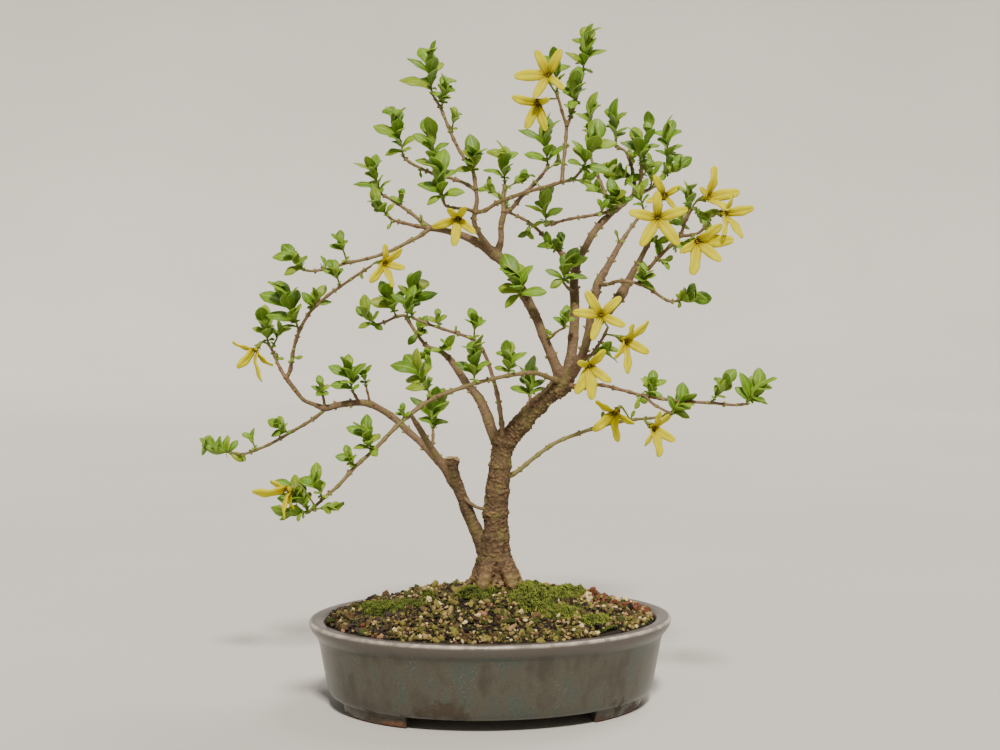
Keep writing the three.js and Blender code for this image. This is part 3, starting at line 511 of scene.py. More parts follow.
def blade(root: Vector, tip: Vector, face: Vector, form: BladeForm, key: float) -> BMesh:
    """Makes a leaf or petal from its root to its tip.

    Args:
        root: Where it grows from.
        tip: Where it ends.
        face: Where its upper side looks, roughly.
        form: Its outline and how it bends.
        key: The draw that varies it.

    Returns:
        A thin closed shape, whose grain is its share along and across, and its length.
    """

    def flat(bm: BMesh) -> None:
        """Makes a flat sheet with a thickness of 1, pointed at its tip.

        Args:
            bm: The empty mesh that takes it.
        """
        bmesh.ops.create_grid(bm, x_segments=form.across, y_segments=form.along, size=1)
        bmesh.ops.solidify(bm, geom=bm.faces[:], thickness=1)
        for vert in bm.verts:
            if vert.co.y > 0.999:
                vert.co.x = 0
        bmesh.ops.remove_doubles(bm, verts=bm.verts[:], dist=WELD)

    shape = copy_of(("blade", form), flat)
    reach = tip - root
    length = reach.length
    along = reach.normalized()
    side = along.cross(face).normalized()
    top = side.cross(along).normalized()
    arch = form.arch * (0.7 + 0.6 * draw(key + 1.3))
    twist = 0.35 * (draw(key + 2.9) - 0.5)
    layers = shape.verts.layers
    grain, shade, kind = layers.float_vector["grain"], layers.float["tone"], layers.float["kind"]
    for vert in shape.verts:
        share, hand, level = 1 - ((1 - vert.co.y) / 2) ** form.crowd, vert.co.x, vert.co.z
        half = form.width * length / 2 * form.outline(share)
        lift = arch * length * 4 * share * (1 - share) * (1 - 0.35 * share)
        lift += form.fold * half * abs(hand) - form.curl * half * hand ** 4
        lift += form.ripple * half * abs(hand) * math.sin(share * 11 + key * 9 + (2 if hand > 0 else 0))
        bend = twist * share
        out = side * math.cos(bend) + top * math.sin(bend)
        vert.co = (root + along * (share * length) + out * (hand * half)
                   + top * (lift + level * form.thickness * MM))
        vert[grain] = (share, hand, length / MM)
        vert[shade] = draw(key + 7.7)
        vert[kind] = -level
    return shape


def ball(middle: Vector, size: Vector, turn: Matrix, level: int, rough: float,
         key: float) -> BMesh:
    """Makes a rough lump.

    Args:
        middle: Its middle.
        size: Its three half widths, in metres.
        turn: How it is turned.
        level: 0 for a chip of 26 faces with bevelled edges, or 1 for a lump of 20 faces.
        rough: The share of its size that its surface varies by.
        key: The draw that varies it.

    Returns:
        The closed shape, whose grain is a place on it in millimetres.
    """

    def round_lump(bm: BMesh) -> None:
        """Makes the plain chip or lump, about 1 in size.

        Args:
            bm: The empty mesh that takes it.
        """
        if level == 0:
            bmesh.ops.create_cube(bm, size=1.7)
            bmesh.ops.bevel(bm, geom=bm.edges[:], offset=0.4, segments=1, profile=0.5, affect="EDGES",
                            material=-1)
        else:
            bmesh.ops.create_icosphere(bm, subdivisions=level, radius=1)

    shape = copy_of(("ball", level), round_lump)
    layers = shape.verts.layers
    grain, shade = layers.float_vector["grain"], layers.float["tone"]
    shift = Vector((draw(key) * 40, draw(key + 3) * 40, draw(key + 6) * 40))
    for vert in shape.verts:
        swell = 1 + rough * 2 * noise.noise(vert.co * 1.3 + shift)
        local = Vector((vert.co.x * size.x, vert.co.y * size.y, vert.co.z * size.z)) * swell
        vert.co = middle + turn @ local
        vert[grain] = local / MM + shift
        vert[shade] = draw(key + 9)
    return shape


def turned(key: float) -> Matrix:
    """Gives a repeatable turn in space."""
    turn = Matrix.Rotation(draw(key) * math.tau, 3, "Z") @ Matrix.Rotation(draw(key + 1) * math.pi, 3, "X")
    return turn @ Matrix.Rotation(draw(key + 2) * math.tau, 3, "Z")


# The tree, as laid out on the front view

# The wood: each limb's knots, as across, down, depth and radius.
WOOD = {
    "trunk": [[494, 606, 0, 7.6], [494, 590, 0, 9.4], [494, 574, 0, 9.6], [495, 553, 0, 8.6],
        [496, 528, 0, 7.2], [496, 502, -1, 6.7], [499, 478, -1, 6.7], [501, 458, 0, 6],
        [504, 441, 0, 6.5], [508, 430, 0, 4.6]],
    "left_trunk": [[489, 568, 3, 5.2], [482, 545, 4, 4.7], [472, 522, 3, 4.1], [464, 502, 2, 3.9],
        [457, 484, 1, 4.1], [452, 468, 0, 4.1], [451, 457, 0, 4.3]],
    "bridge": [[461, 494, 0, 1.4], [470, 503, -2, 1.1], [479, 508, -3, 1], [488, 509, -3, 1]],
    "right_limb": [[500, 449, 0, 5.4], [515, 431, -2, 5.5], [531, 413, -4, 5.3], [546, 398, -6, 5.2],
        [564, 383, -8, 5.6], [570, 374, -8, 3.8]],
    "left_limb": [[501, 448, 2, 3.9], [492, 431, 4, 3.1], [486, 413, 7, 2.9], [478, 397, 10, 2.5],
        [467, 384, 13, 2.3], [458, 370, 16, 2.2], [449, 358, 18, 1.7]],
    "arching_limb": [[564, 383, -8, 4.4], [556, 366, -7, 2.9], [546, 342, -6, 2.6], [537, 320, -5, 2.6],
        [527, 300, -4, 2.8], [515, 279, -3, 2.9], [505, 263, -2, 3.2], [494, 254, -1, 3.2],
        [480, 244, 0, 2.5], [464, 236, 2, 2.1], [447, 231, 4, 1.7], [430, 228, 6, 1.7]],
    "upright_limb": [[564, 383, -8, 4], [571, 358, -2, 3.1], [574, 332, 2, 2.8], [575, 308, 6, 2.7],
        [574, 284, 10, 2.5], [577, 264, 14, 2.2], [586, 246, 20, 2], [594, 232, 26, 2],
        [601, 223, 30, 2.1], [612, 213, 36, 1.6], [624, 204, 42, 1.4], [634, 194, 46, 1.2]],
    "inner_limb": [[569, 379, -8, 3.2], [582, 356, -12, 2.5], [588, 334, -16, 2.2], [591, 314, -18, 2.2],
        [595, 297, -18, 2.3], [598, 284, -17, 2.6], [606, 269, -14, 1.9], [614, 255, -10, 1.6],
        [620, 244, -6, 1.6]],
    "outer_limb": [[587, 341, -15, 2], [599, 323, -22, 2.1], [611, 308, -26, 2.5], [621, 295, -28, 2.8],
        [627, 284, -28, 2.3], [634, 270, -28, 1.6], [641, 258, -28, 1.5], [647, 246, -28, 1.4]],
    "crown_post": [[496, 257, -1, 2.4], [501, 240, 0, 1.7], [501, 226, 1, 1.6], [504, 213, 2, 1.6]],
    "crown_spur": [[495, 256, -1, 2.2], [486, 243, -6, 1.7], [479, 233, -10, 1.4], [474, 222, -13, 1.4],
        [475, 212, -14, 1.5], [477, 200, -13, 1.2], [476, 190, -12, 1.2]],
    "low_limb": [[455, 484, 1, 3.2], [445, 469, 3, 2.3], [434, 457, 8, 2], [422, 444, 12, 1.9],
        [408, 431, 16, 2], [394, 418, 18, 2], [380, 409, 18, 2], [367, 403, 17, 2.1], [352, 403, 15, 1.8],
        [338, 405, 13, 1.8], [325, 408, 11, 1.9], [313, 404, 9, 1.3], [304, 400, 8, 1.2],
        [296, 391, 7, 1.3], [286, 378, 6, 1.4]],
    "olive_limb": [[455, 484, 1, 3], [442, 464, -2, 2.2], [432, 449, -4, 2], [424, 436, -6, 1.8],
        [416, 423, -8, 1.6], [411, 415, -9, 1.2]],
}
ROOTS = [
    [[491, 560, -3, 5.2], [487, 572, -8, 4.8], [484, 583, -10, 3.9], [482, 592, -11, 2.4]],
    [[503, 560, -3, 4.8], [508, 571, -7, 4.5], [511, 582, -9, 3.7], [513, 590, -10, 2.4]],
    [[485, 560, 2, 4.4], [477, 573, 3, 3], [470, 584, 4, 2], [464, 593, 5, 1.2]],
    [[504, 560, 3, 4.8], [513, 572, 5, 3.4], [520, 584, 7, 2.3], [526, 594, 9, 1.2]],
    [[490, 560, 6, 4.8], [484, 576, 13, 3.4], [478, 588, 20, 2], [474, 598, 24, 1.2]],
    [[500, 560, 6, 4.8], [506, 576, 14, 3.4], [512, 588, 20, 2], [516, 598, 25, 1.2]],
]


class Shoot(NamedTuple):
    """A leafy shoot: the knot that it grows from, where its tip is seen, how far the tip leans
    away from the eye, its longest leaf in millimetres and the leaf tips that are seen."""

    knot: float
    across: float
    down: float
    lean: float
    leaf: float
    tips: tuple[tuple[int, int], ...] = ()


class Bloom(NamedTuple):
    """A bloom: the knot that it grows from, its throat as across, down and lean, the way it faces
    as shares to the right, up and towards the eye, and its petals' tips, which lean from the
    throat."""

    knot: float
    throat: list[float]
    face: list[float]
    tips: list[list[float]]


class Twig(NamedTuple):
    """A brown twig with its shoots and blooms."""

    route: list[list[float]]
    shoots: list[Shoot]
    blooms: list[Bloom] = []


STEMS = {
    "stem_low_left": [
        Twig([[326, 408, 11, 1.2], [321, 413, 11, 1], [310, 421, 14, 0.95], [293, 431, 18, 0.9],
              [272, 443, 22, 0.85], [256, 450, 25, 0.8], [243, 454, 27, 0.7], [232, 453, 29, 0.6]],
             [Shoot(7, 205, 446, 2, 14, ((198, 455), (208, 440), (238, 440), (230, 437), (245, 461))),
              Shoot(5, 249, 433, -2, 7), Shoot(3.2, 276, 423, -3, 9, ((272, 425), (285, 424),
              (271, 436))), Shoot(6, 245, 462, 0, 5)]),
    ],
    "stem_left_arch": [
        Twig([[286, 378, 6, 1.2], [290, 371, 5, 1.1], [292, 358, 3, 1], [295, 344, 0, 0.95],
              [299, 332, -3, 0.95], [305, 320, -6, 0.9], [311, 311, -9, 0.9], [326, 297, -13, 0.85],
              [344, 284, -17, 0.8], [360, 273, -21, 0.75], [371, 266, -24, 0.65]],
             [Shoot(4, 283, 283, -4, 16, ((275, 283), (300, 288), (259, 294), (304, 306), (266, 315),
              (282, 327), (295, 322))), Shoot(6, 320, 290, -3, 10, ((302, 292), (332, 302), (308, 303))),
              Shoot(7.8, 333, 266, -3, 8, ((323, 270), (343, 268), (325, 262))),
              Shoot(2, 303, 357, -2, 5), Shoot(9, 363, 279, 0, 4)],
             [Bloom(10, [386, 264, -5], [0.75, -0.15, 0.65], [[385, 244, -5], [402, 249, -2],
              [405, 268, -1], [393, 287, -3], [370, 282, -9]])]),
    ],
    "stem_left_tip": [
        Twig([[286, 378, 6, 1.1], [281, 370, 8, 0.95], [276, 359, 10, 0.85], [272, 350, 12, 0.8],
              [269, 345, 13, 0.7]],
             [Shoot(4, 262, 313, -2, 12, ((252, 328), (272, 325))), Shoot(3.3, 284, 325, 5, 8),
              Shoot(2, 284, 358, -3, 5)],
             [Bloom(4, [254, 352, -4], [-0.5, -0.75, 0.4], [[232, 342, -2], [237, 368, -6],
              [262, 382, -6], [273, 366, 2]])]),
    ],
    "shoot_left_low": [
        Twig([[325, 408, 11, 0.9], [324, 401, 9, 0.7], [323, 396, 8, 0.6]],
             [Shoot(2, 321, 381, -2, 7, ((311, 386), (330, 385), (317, 395), (329, 394)))]),
    ],
    "shoot_left_tall": [
        Twig([[359, 403, 16, 1.1], [356, 397, 12, 0.8], [353, 392, 10, 0.7]],
             [Shoot(2, 346, 359, -3, 13, ((346, 360), (328, 366), (366, 363), (330, 385), (360, 386)))]),
    ],
    "shoot_left_bud": [
        Twig([[370, 404, 17, 0.9], [368, 394, 15, 0.6], [366, 386, 14, 0.55]],
             [Shoot(2, 363, 368, -2, 8)]),
    ],
    "stem_front_left": [
        Twig([[564, 383, -8, 1.8], [550, 378, -18, 1.3], [535, 373, -26, 1.2], [512, 375, -34, 1.1],
              [484, 381, -40, 1], [455, 390, -46, 1.1], [432, 399, -50, 1.2], [412, 413, -54, 1.2],
              [395, 428, -58, 1.1], [376, 448, -62, 1], [355, 467, -66, 1], [338, 486, -70, 0.9],
              [324, 498, -72, 0.8], [309, 512, -74, 0.7]],
             [Shoot(3.1, 506, 346, 3, 12, ((497, 352), (527, 352), (494, 367), (516, 365))),
              Shoot(4.35, 475, 345, 4, 14, ((463, 346), (483, 342), (455, 362), (490, 362))),
              Shoot(6, 413, 356, 2, 14, ((390, 365), (433, 366), (405, 380), (405, 388), (430, 386))),
              Shoot(7.4, 401, 408, -3, 6, ((395, 413), (411, 412))),
              Shoot(9.2, 363, 423, -3, 12, ((346, 427), (366, 423), (379, 435), (353, 448), (378, 455))),
              Shoot(10, 347, 450, -2, 8, ((335, 456), (357, 455), (346, 464))),
              Shoot(12.1, 314, 473, -3, 10, ((317, 473), (297, 480), (319, 483), (300, 478))),
              Shoot(13, 292, 488, -3, 12, ((275, 480), (303, 486), (277, 498))),
              Shoot(13, 284, 512, 5, 11, ((275, 510), (300, 520))),
              Shoot(12.8, 336, 507, -3, 9, ((345, 500), (330, 512)))],
             [Bloom(12.6, [286, 491, -12], [-0.85, -0.4, 0.35], [[252, 492, -3], [270, 481, 6],
              [284, 519, -2], [293, 509, 7]])]),
    ],
    "stem_mid_left": [
        Twig([[449, 358, 18, 1.6], [440, 351, 20, 1.3], [427, 346, 22, 1.1], [419, 337, 23, 1],
              [411, 325, 24, 1], [405, 316, 25, 0.9], [396, 317, 27, 0.8], [385, 322, 29, 0.7],
              [374, 325, 31, 0.6]],
             [Shoot(0.8, 447, 343, -5, 9, ((430, 350), (440, 348))),
              Shoot(1.6, 424, 360, -7, 8, ((425, 360),)), Shoot(3.2, 422, 325, -6, 9, ((408, 345),
              (428, 333))), Shoot(4.8, 416, 277, -3, 15, ((438, 293), (428, 281), (398, 285))),
              Shoot(6, 385, 287, -5, 14, ((369, 301), (405, 290))),
              Shoot(8, 362, 306, -3, 13, ((380, 312), (358, 328), (383, 330)))]),
    ],
    "stem_mid": [
        Twig([[503, 437, -3, 1.6], [501, 418, -6, 1.3], [498, 398, -8, 1.2], [493, 378, -10, 1.1],
              [486, 357, -11, 1], [480, 346, -12, 0.95], [474, 340, -12, 0.9], [462, 335, -10, 0.85],
              [446, 330, -8, 0.8], [428, 324, -6, 0.75], [413, 318, -4, 0.7]],
             [Shoot(6, 475, 314, -2, 9, ((465, 319), (486, 320))),
              Shoot(8.4, 437, 312, -2, 7, ((427, 317), (447, 315))), Shoot(10, 404, 298, 0, 11),
              Shoot(7.4, 456, 325, -1, 4)]),
    ],
    "stem_upper_left": [
        Twig([[430, 228, 6, 1.4], [420, 236, 4, 1.1], [410, 241, 2, 1], [397, 248, -1, 0.95],
              [380, 255, -4, 0.9], [362, 260, -7, 0.85], [347, 263, -10, 0.85], [330, 268, -13, 0.8],
              [312, 271, -16, 0.7], [304, 270, -17, 0.6]],
             [Shoot(6, 338, 234, -2, 9, ((329, 245), (349, 241))), Shoot(9, 289, 249, -3, 12, ((272, 257),
              (305, 255), (284, 275))), Shoot(7.4, 327, 261, 3, 6)]),
        Twig([[430, 228, 6, 1.3], [421, 221, 8, 1.1], [411, 213, 10, 1], [401, 206, 12, 0.9],
              [390, 199, 14, 0.8], [381, 194, 16, 0.7]],
             [Shoot(5, 370, 160, 2, 12, ((353, 163), (383, 162), (353, 184), (391, 180), (383, 192))),
              Shoot(3.1, 402, 191, -2, 7, ((405, 194), (390, 196)))]),
        Twig([[430, 228, 6, 1.3], [416, 226, 3, 1], [404, 223, 0, 0.9], [393, 220, -2, 0.8],
              [387, 215, -4, 0.6]],
             [Shoot(4, 373, 198, -2, 13, ((385, 205), (395, 203))), Shoot(3, 387, 230, -1, 5),
              Shoot(0.6, 421, 214, -3, 4)]),
    ],
    "stem_crown_left": [
        Twig([[476, 190, -12, 1.1], [464, 183, -6, 0.95], [450, 178, 0, 0.9], [434, 174, 6, 0.85],
              [420, 168, 12, 0.8], [408, 161, 16, 0.8], [403, 156, 18, 0.7]],
             [Shoot(6, 394, 111, 2, 15, ((383, 106), (407, 110), (373, 126), (405, 130), (419, 134),
              (385, 155), (412, 150))), Shoot(3, 431, 123, -2, 14, ((449, 143), (413, 134), (415, 160),
              (440, 158))), Shoot(4, 421, 178, -2, 4)]),
    ],
    "stem_crown_tall": [
        Twig([[476, 190, -12, 1.1], [473, 172, -11, 1], [464, 158, -9, 0.9], [457, 146, -6, 0.9],
              [451, 133, -4, 0.9], [446, 121, -1, 0.85], [441, 109, 2, 0.85], [437, 102, 4, 0.7],
              [432, 94, 5, 0.6]],
             [Shoot(8, 430, 49, 0, 16, ((407, 58), (436, 52), (399, 80), (415, 78))),
              Shoot(6, 447, 79, -3, 11, ((455, 78), (455, 88), (432, 90), (451, 100))),
              Shoot(4, 456, 109, -3, 8, ((450, 110), (461, 112))), Shoot(1, 476, 151, -5, 15, ((462, 152),
              (487, 151), (455, 170), (476, 157)))]),
    ],
    "stem_crown_front": [
        Twig([[475, 212, -14, 1.1], [466, 209, -20, 0.9], [455, 208, -25, 0.8], [446, 206, -29, 0.75],
              [443, 200, -31, 0.7]],
             [Shoot(4, 438, 160, -3, 16, ((425, 165), (455, 168), (417, 184), (465, 192), (427, 205)))],
             [Bloom(3, [458, 219, -6], [0.1, -0.35, 0.9], [[432, 227, -1], [454, 246, -2], [475, 233, -2],
              [465, 207, -9], [448, 209, -8]])]),
    ],
    "stem_crown_mid": [
        Twig([[504, 213, 2, 1.3], [503, 202, 5, 1], [504, 190, 8, 0.9], [505, 182, 10, 0.7]],
             [Shoot(3, 502, 150, 0, 15, ((488, 148), (517, 150), (483, 170), (502, 155))),
              Shoot(2, 528, 175, -4, 9, ((525, 178), (535, 178))), Shoot(1.4, 484, 184, 5, 9)]),
    ],
    "stem_crown_back": [
        Twig([[504, 213, 2, 1.4], [512, 208, 8, 1.2], [521, 197, 15, 1.1], [532, 186, 22, 1],
              [542, 175, 28, 0.9], [548, 166, 32, 0.8]],
             [Shoot(5, 543, 121, 0, 16, ((518, 130), (560, 122), (524, 154), (570, 145), (540, 120))),
              Shoot(4.5, 562, 160, 5, 7)]),
    ],
    "stem_crown_right": [
        Twig([[475, 212, -14, 1.3], [484, 211, -18, 1.1], [497, 203, -22, 1], [512, 197, -26, 1],
              [527, 192, -30, 1], [545, 187, -34, 0.95], [562, 182, -38, 0.9], [573, 179, -40, 0.8],
              [581, 171, -42, 0.7]],
             [Shoot(8, 600, 129, -2, 16, ((572, 140), (618, 143), (598, 128), (567, 163), (611, 172),
              (590, 180))), Shoot(6.9, 592, 182, -4, 8)]),
    ],
    "stem_crown_top": [
        Twig([[562, 182, -38, 1.1], [563, 166, -36, 0.95], [565, 150, -34, 0.9], [566, 136, -32, 0.9],
              [567, 126, -31, 0.9], [571, 116, -30, 0.8], [575, 104, -28, 0.7], [578, 93, -27, 0.65],
              [581, 82, -25, 0.65], [583, 75, -24, 0.6]],
             [Shoot(9, 588, 29, 2, 15, ((575, 35), (600, 31), (565, 52), (607, 50), (577, 62),
              (592, 71))), Shoot(6, 574, 77, -4, 13, ((567, 85), (580, 85), (570, 110))),
              Shoot(4.8, 570, 105, 3, 6)]),
        Twig([[567, 126, -31, 0.9], [563, 115, -33, 0.8], [560, 104, -35, 0.75], [557, 95, -36, 0.7]],
             [Shoot(3, 555, 53, 5, 13, ((540, 53), (570, 63), (556, 60)))],
             [Bloom(3, [548, 75, -10], [0.1, 0.05, 1], [[514, 76, -1], [536, 50, -4], [561, 49, -4],
              [564, 89, -3], [534, 98, -2]]), Bloom(2.6, [537, 104, -4], [-0.25, -0.4, 0.85],
              [[512, 97, -3], [526, 129, 1], [546, 131, 1], [549, 99, -8]])]),
    ],
    "stem_back_left": [
        Twig([[612, 213, 36, 1.2], [606, 196, 44, 1], [598, 176, 50, 0.9], [591, 158, 55, 0.8],
              [589, 145, 58, 0.7]],
             [Shoot(4, 591, 97, 4, 13, ((596, 99), (575, 113), (600, 107), (583, 128))),
              Shoot(2.2, 613, 170, -3, 10), Shoot(1, 593, 186, -4, 8)]),
    ],
    "stem_back_mid": [
        Twig([[634, 194, 46, 1.1], [634, 178, 50, 1], [630, 162, 54, 0.9], [625, 151, 57, 0.8],
              [616, 147, 60, 0.7]],
             [Shoot(4, 614, 108, 4, 14, ((607, 115), (627, 112), (629, 127), (605, 125))),
              Shoot(1, 616, 171, -6, 14, ((612, 170), (625, 185), (640, 180))),
              Shoot(2.2, 640, 150, 6, 10)]),
        Twig([[634, 194, 46, 1.1], [640, 184, 43, 1], [641, 172, 38, 0.9], [641, 164, 35, 0.8]],
             [Shoot(3, 637, 132, -2, 15, ((620, 142), (652, 145), (655, 165), (635, 130))),
              Shoot(2, 650, 118, 14, 12, ((655, 130), (645, 128), (660, 145))),
              Shoot(1.5, 655, 160, -4, 9)]),
    ],
    "stem_back_right": [
        Twig([[634, 194, 46, 1.2], [648, 190, 50, 1], [660, 180, 54, 0.9], [667, 168, 57, 0.8]],
             [Shoot(3, 668, 122, 3, 14, ((655, 130), (682, 128), (683, 145), (655, 150))),
              Shoot(2.4, 686, 163, -8, 12, ((687, 165), (660, 180))), Shoot(1.2, 653, 168, -4, 9),
              Shoot(2, 674, 152, 6, 10)]),
    ],
    "stem_back_across": [
        Twig([[624, 204, 42, 1.1], [617, 209, 34, 1], [604, 213, 28, 0.95], [588, 216, 24, 0.9],
              [570, 219, 20, 0.85], [555, 223, 18, 0.75], [546, 226, 17, 0.6]],
             [Shoot(6, 543, 189, 8, 14, ((525, 205), (563, 208), (530, 228), (555, 225))),
              Shoot(1.2, 614, 188, -7, 13, ((608, 190), (625, 193), (603, 207))),
              Shoot(2.2, 603, 203, -4, 6), Shoot(1.6, 626, 195, -6, 8)]),
    ],
    "stem_back_low": [
        Twig([[577, 264, 14, 1.6], [568, 259, 20, 1.3], [558, 250, 26, 1.2], [545, 237, 32, 1],
              [530, 223, 38, 0.9], [517, 216, 43, 0.8], [508, 212, 46, 0.7]],
             [Shoot(2, 545, 243, -4, 9, ((547, 245),)), Shoot(1.8, 561, 239, 0, 9, ((560, 243),)),
              Shoot(6, 500, 194, 3, 11), Shoot(4, 527, 237, -2, 7)]),
    ],
    "shoot_centre": [
        Twig([[575, 292, 8, 1.1], [568, 288, 1, 0.8], [563, 282, -3, 0.7]],
             [Shoot(2, 570, 256, -4, 14, ((545, 270), (588, 257), (550, 288), (588, 278)))]),
    ],
    "shoot_front": [
        Twig([[527, 302, -4, 1.3], [526, 304, -12, 1], [521, 297, -17, 0.8]],
             [Shoot(2, 513, 270, -4, 17, ((533, 265), (500, 270), (498, 287), (520, 290), (510, 275),
              (547, 292), (505, 308)))]),
    ],
    "stem_centre_small": [
        Twig([[545, 342, -6, 1.1], [552, 336, -10, 0.8], [558, 331, -12, 0.7], [564, 328, -13, 0.6]],
             [Shoot(3, 567, 310, -2, 9, ((553, 317), (575, 318))), Shoot(0.9, 546, 329, -3, 5)]),
    ],
    "stem_right_bloom": [
        Twig([[583, 360, -13, 1.3], [592, 354, -20, 0.9], [599, 344, -24, 0.8], [604, 336, -26, 0.8],
              [608, 327, -27, 0.7]],
             [Shoot(1, 608, 350, 6, 11, ((602, 350), (618, 363), (613, 357)))],
             [Bloom(4, [601, 315, -12], [0, 0.05, 1], [[586, 291, -3], [621, 297, -3], [573, 312, -2],
              [625, 326, -3], [592, 340, -3]]), Bloom(3.2, [627, 341, -6], [0.75, -0.35, 0.55],
              [[649, 321, 1], [633, 324, -8], [649, 353, 1], [628, 374, -4], [615, 358, -9]]),
              Bloom(0.9, [590, 367, -13], [0.12, -0.3, 0.95], [[605, 350, -7], [611, 382, -3],
              [576, 394, 0], [592, 400, -1], [578, 362, -8]])]),
    ],
    "stem_right_mid": [
        Twig([[598, 285, -17, 1.2], [609, 284, -28, 1], [620, 281, -37, 0.95], [636, 283, -40, 0.9],
              [650, 289, -40, 0.85], [660, 296, -40, 0.8], [669, 301, -40, 0.7], [677, 301, -40, 0.6]],
             [Shoot(3.4, 645, 269, -3, 10, ((640, 270), (655, 275), (652, 283), (655, 290))),
              Shoot(7, 700, 297, -2, 12, ((680, 290), (695, 290), (703, 302)))]),
    ],
    "stem_right_long": [
        Twig([[564, 383, -8, 1.8], [578, 387, -14, 1.3], [600, 385, -22, 0.95], [622, 390, -30, 0.9],
              [645, 396, -36, 0.85], [680, 401, -42, 0.85], [712, 403, -46, 0.8], [735, 405, -50, 0.7],
              [747, 404, -52, 0.6]],
             [Shoot(4.1, 654, 378, -2, 10, ((641, 378), (667, 380), (645, 385), (663, 396))),
              Shoot(3.7, 640, 401, -2, 6), Shoot(6, 728, 376, -3, 11, ((718, 378), (733, 380))),
              Shoot(8, 767, 379, -2, 15, ((740, 372), (773, 387), (768, 404), (735, 387)))]),
        Twig([[645, 396, -36, 0.85], [652, 403, -38, 0.75], [662, 409, -40, 0.7], [672, 414, -41, 0.6]],
             [Shoot(3, 686, 398, -2, 12, ((668, 395), (690, 398), (693, 407), (690, 418)))]),
    ],
    "stem_right_low": [
        Twig([[503, 479, 3, 1.6], [515, 473, 2, 1.2], [535, 457, 5, 1.15], [555, 443, 8, 1.1],
              [580, 433, 11, 1.05], [605, 425, 14, 0.95], [630, 420, 16, 0.85], [652, 418, 18, 0.7],
              [664, 416, 19, 0.6]],
             [Shoot(8, 672, 411, 0, 5), Shoot(6, 635, 410, 0, 5), Shoot(4.9, 603, 411, -1, 5)],
             [Bloom(6, [614, 414, -12], [-0.55, -0.6, 0.6], [[596, 401, -6], [593, 431, -2],
              [618, 442, -3], [634, 424, -5]]), Bloom(6.6, [655, 429, -9], [0.65, -0.5, 0.6],
              [[674, 410, -1], [675, 441, 1], [660, 457, -1], [645, 446, -7], [660, 411, -8]])]),
    ],
    "stem_right_top": [
        Twig([[636, 268, -28, 1.4], [647, 269, -31, 1.1], [657, 259, -34, 1], [669, 247, -36, 0.95],
              [680, 236, -38, 0.9], [685, 222, -40, 0.85], [692, 208, -42, 0.8]],
             [Shoot(6, 711, 222, -3, 10), Shoot(3.2, 690, 246, 4, 10, ((695, 243), (675, 240))),
              Shoot(5, 690, 187, 8, 11, ((694, 185), (680, 185))), Shoot(2, 669, 264, -4, 6)],
             [Bloom(6, [710, 197, -9], [0.75, 0.15, 0.6], [[715, 166, -3], [740, 192, 1], [729, 210, -3],
              [700, 188, -8]])]),
        Twig([[680, 236, -38, 0.9], [691, 235, -42, 0.8], [700, 232, -45, 0.75], [708, 223, -47, 0.7]],
             [],
             [Bloom(1.6, [698, 242, -11], [0.4, -0.2, 0.9], [[722, 224, -5], [734, 240, -1],
              [721, 261, -2], [693, 275, -3], [680, 252, -6]]), Bloom(3, [727, 214, -6],
              [0.8, -0.15, 0.55], [[754, 208, 1], [743, 238, -3], [724, 235, -8], [733, 192, -2]])]),
    ],
    "stem_right_high": [
        Twig([[647, 247, -28, 1.3], [651, 236, -28, 1], [654, 226, -28, 0.9], [658, 212, -26, 0.8],
              [662, 205, -24, 0.7]],
             [Shoot(2, 686, 221, 6, 9), Shoot(0.8, 662, 245, -5, 8)],
             [Bloom(1.6, [658, 218, -16], [0, 0.05, 1], [[657, 191, -4], [688, 209, -3], [679, 245, -3],
              [641, 246, -3], [629, 212, -3]]), Bloom(4, [665, 195, -3], [0.15, 0.25, 0.95],
              [[654, 175, -4], [681, 186, -3], [676, 209, 1], [646, 202, 0]])]),
    ],
    "stem_right_inner": [
        Twig([[620, 244, -6, 1.3], [628, 232, -2, 1], [636, 221, 4, 0.9], [644, 212, 9, 0.8]],
             [Shoot(3, 637, 184, 4, 10), Shoot(0, 615, 229, -3, 5)]),
    ],
    "shoot_low_back": [
        Twig([[431, 454, 9, 1.3], [432, 447, 18, 1], [433, 438, 28, 0.9], [433, 429, 35, 0.8]],
             [Shoot(3, 434, 398, 6, 17, ((450, 400), (447, 422), (418, 418), (410, 397)))]),
    ],
    "shoot_centre_back": [
        Twig([[530, 414, -4, 1.6], [530, 406, 8, 1.1], [530, 397, 16, 0.9]],
             [Shoot(2, 529, 369, 6, 14, ((510, 387), (545, 380), (548, 388)))]),
    ],
}


# Finishes


def colour(code: str) -> tuple[float, float, float, float]:
    """Turns an sRGB hex colour to the linear one that shaders use.

    Args:
        code: The colour, such as "#7d8078".

    Returns:
        Its linear red, green and blue, and an alpha of 1.
    """
    parts = [int(code[i:i + 2], 16) / 255 for i in (1, 3, 5)]
    return (*(p / 12.92 if p <= 0.04045 else ((p + 0.055) / 1.055) ** 2.4 for p in parts), 1.0)


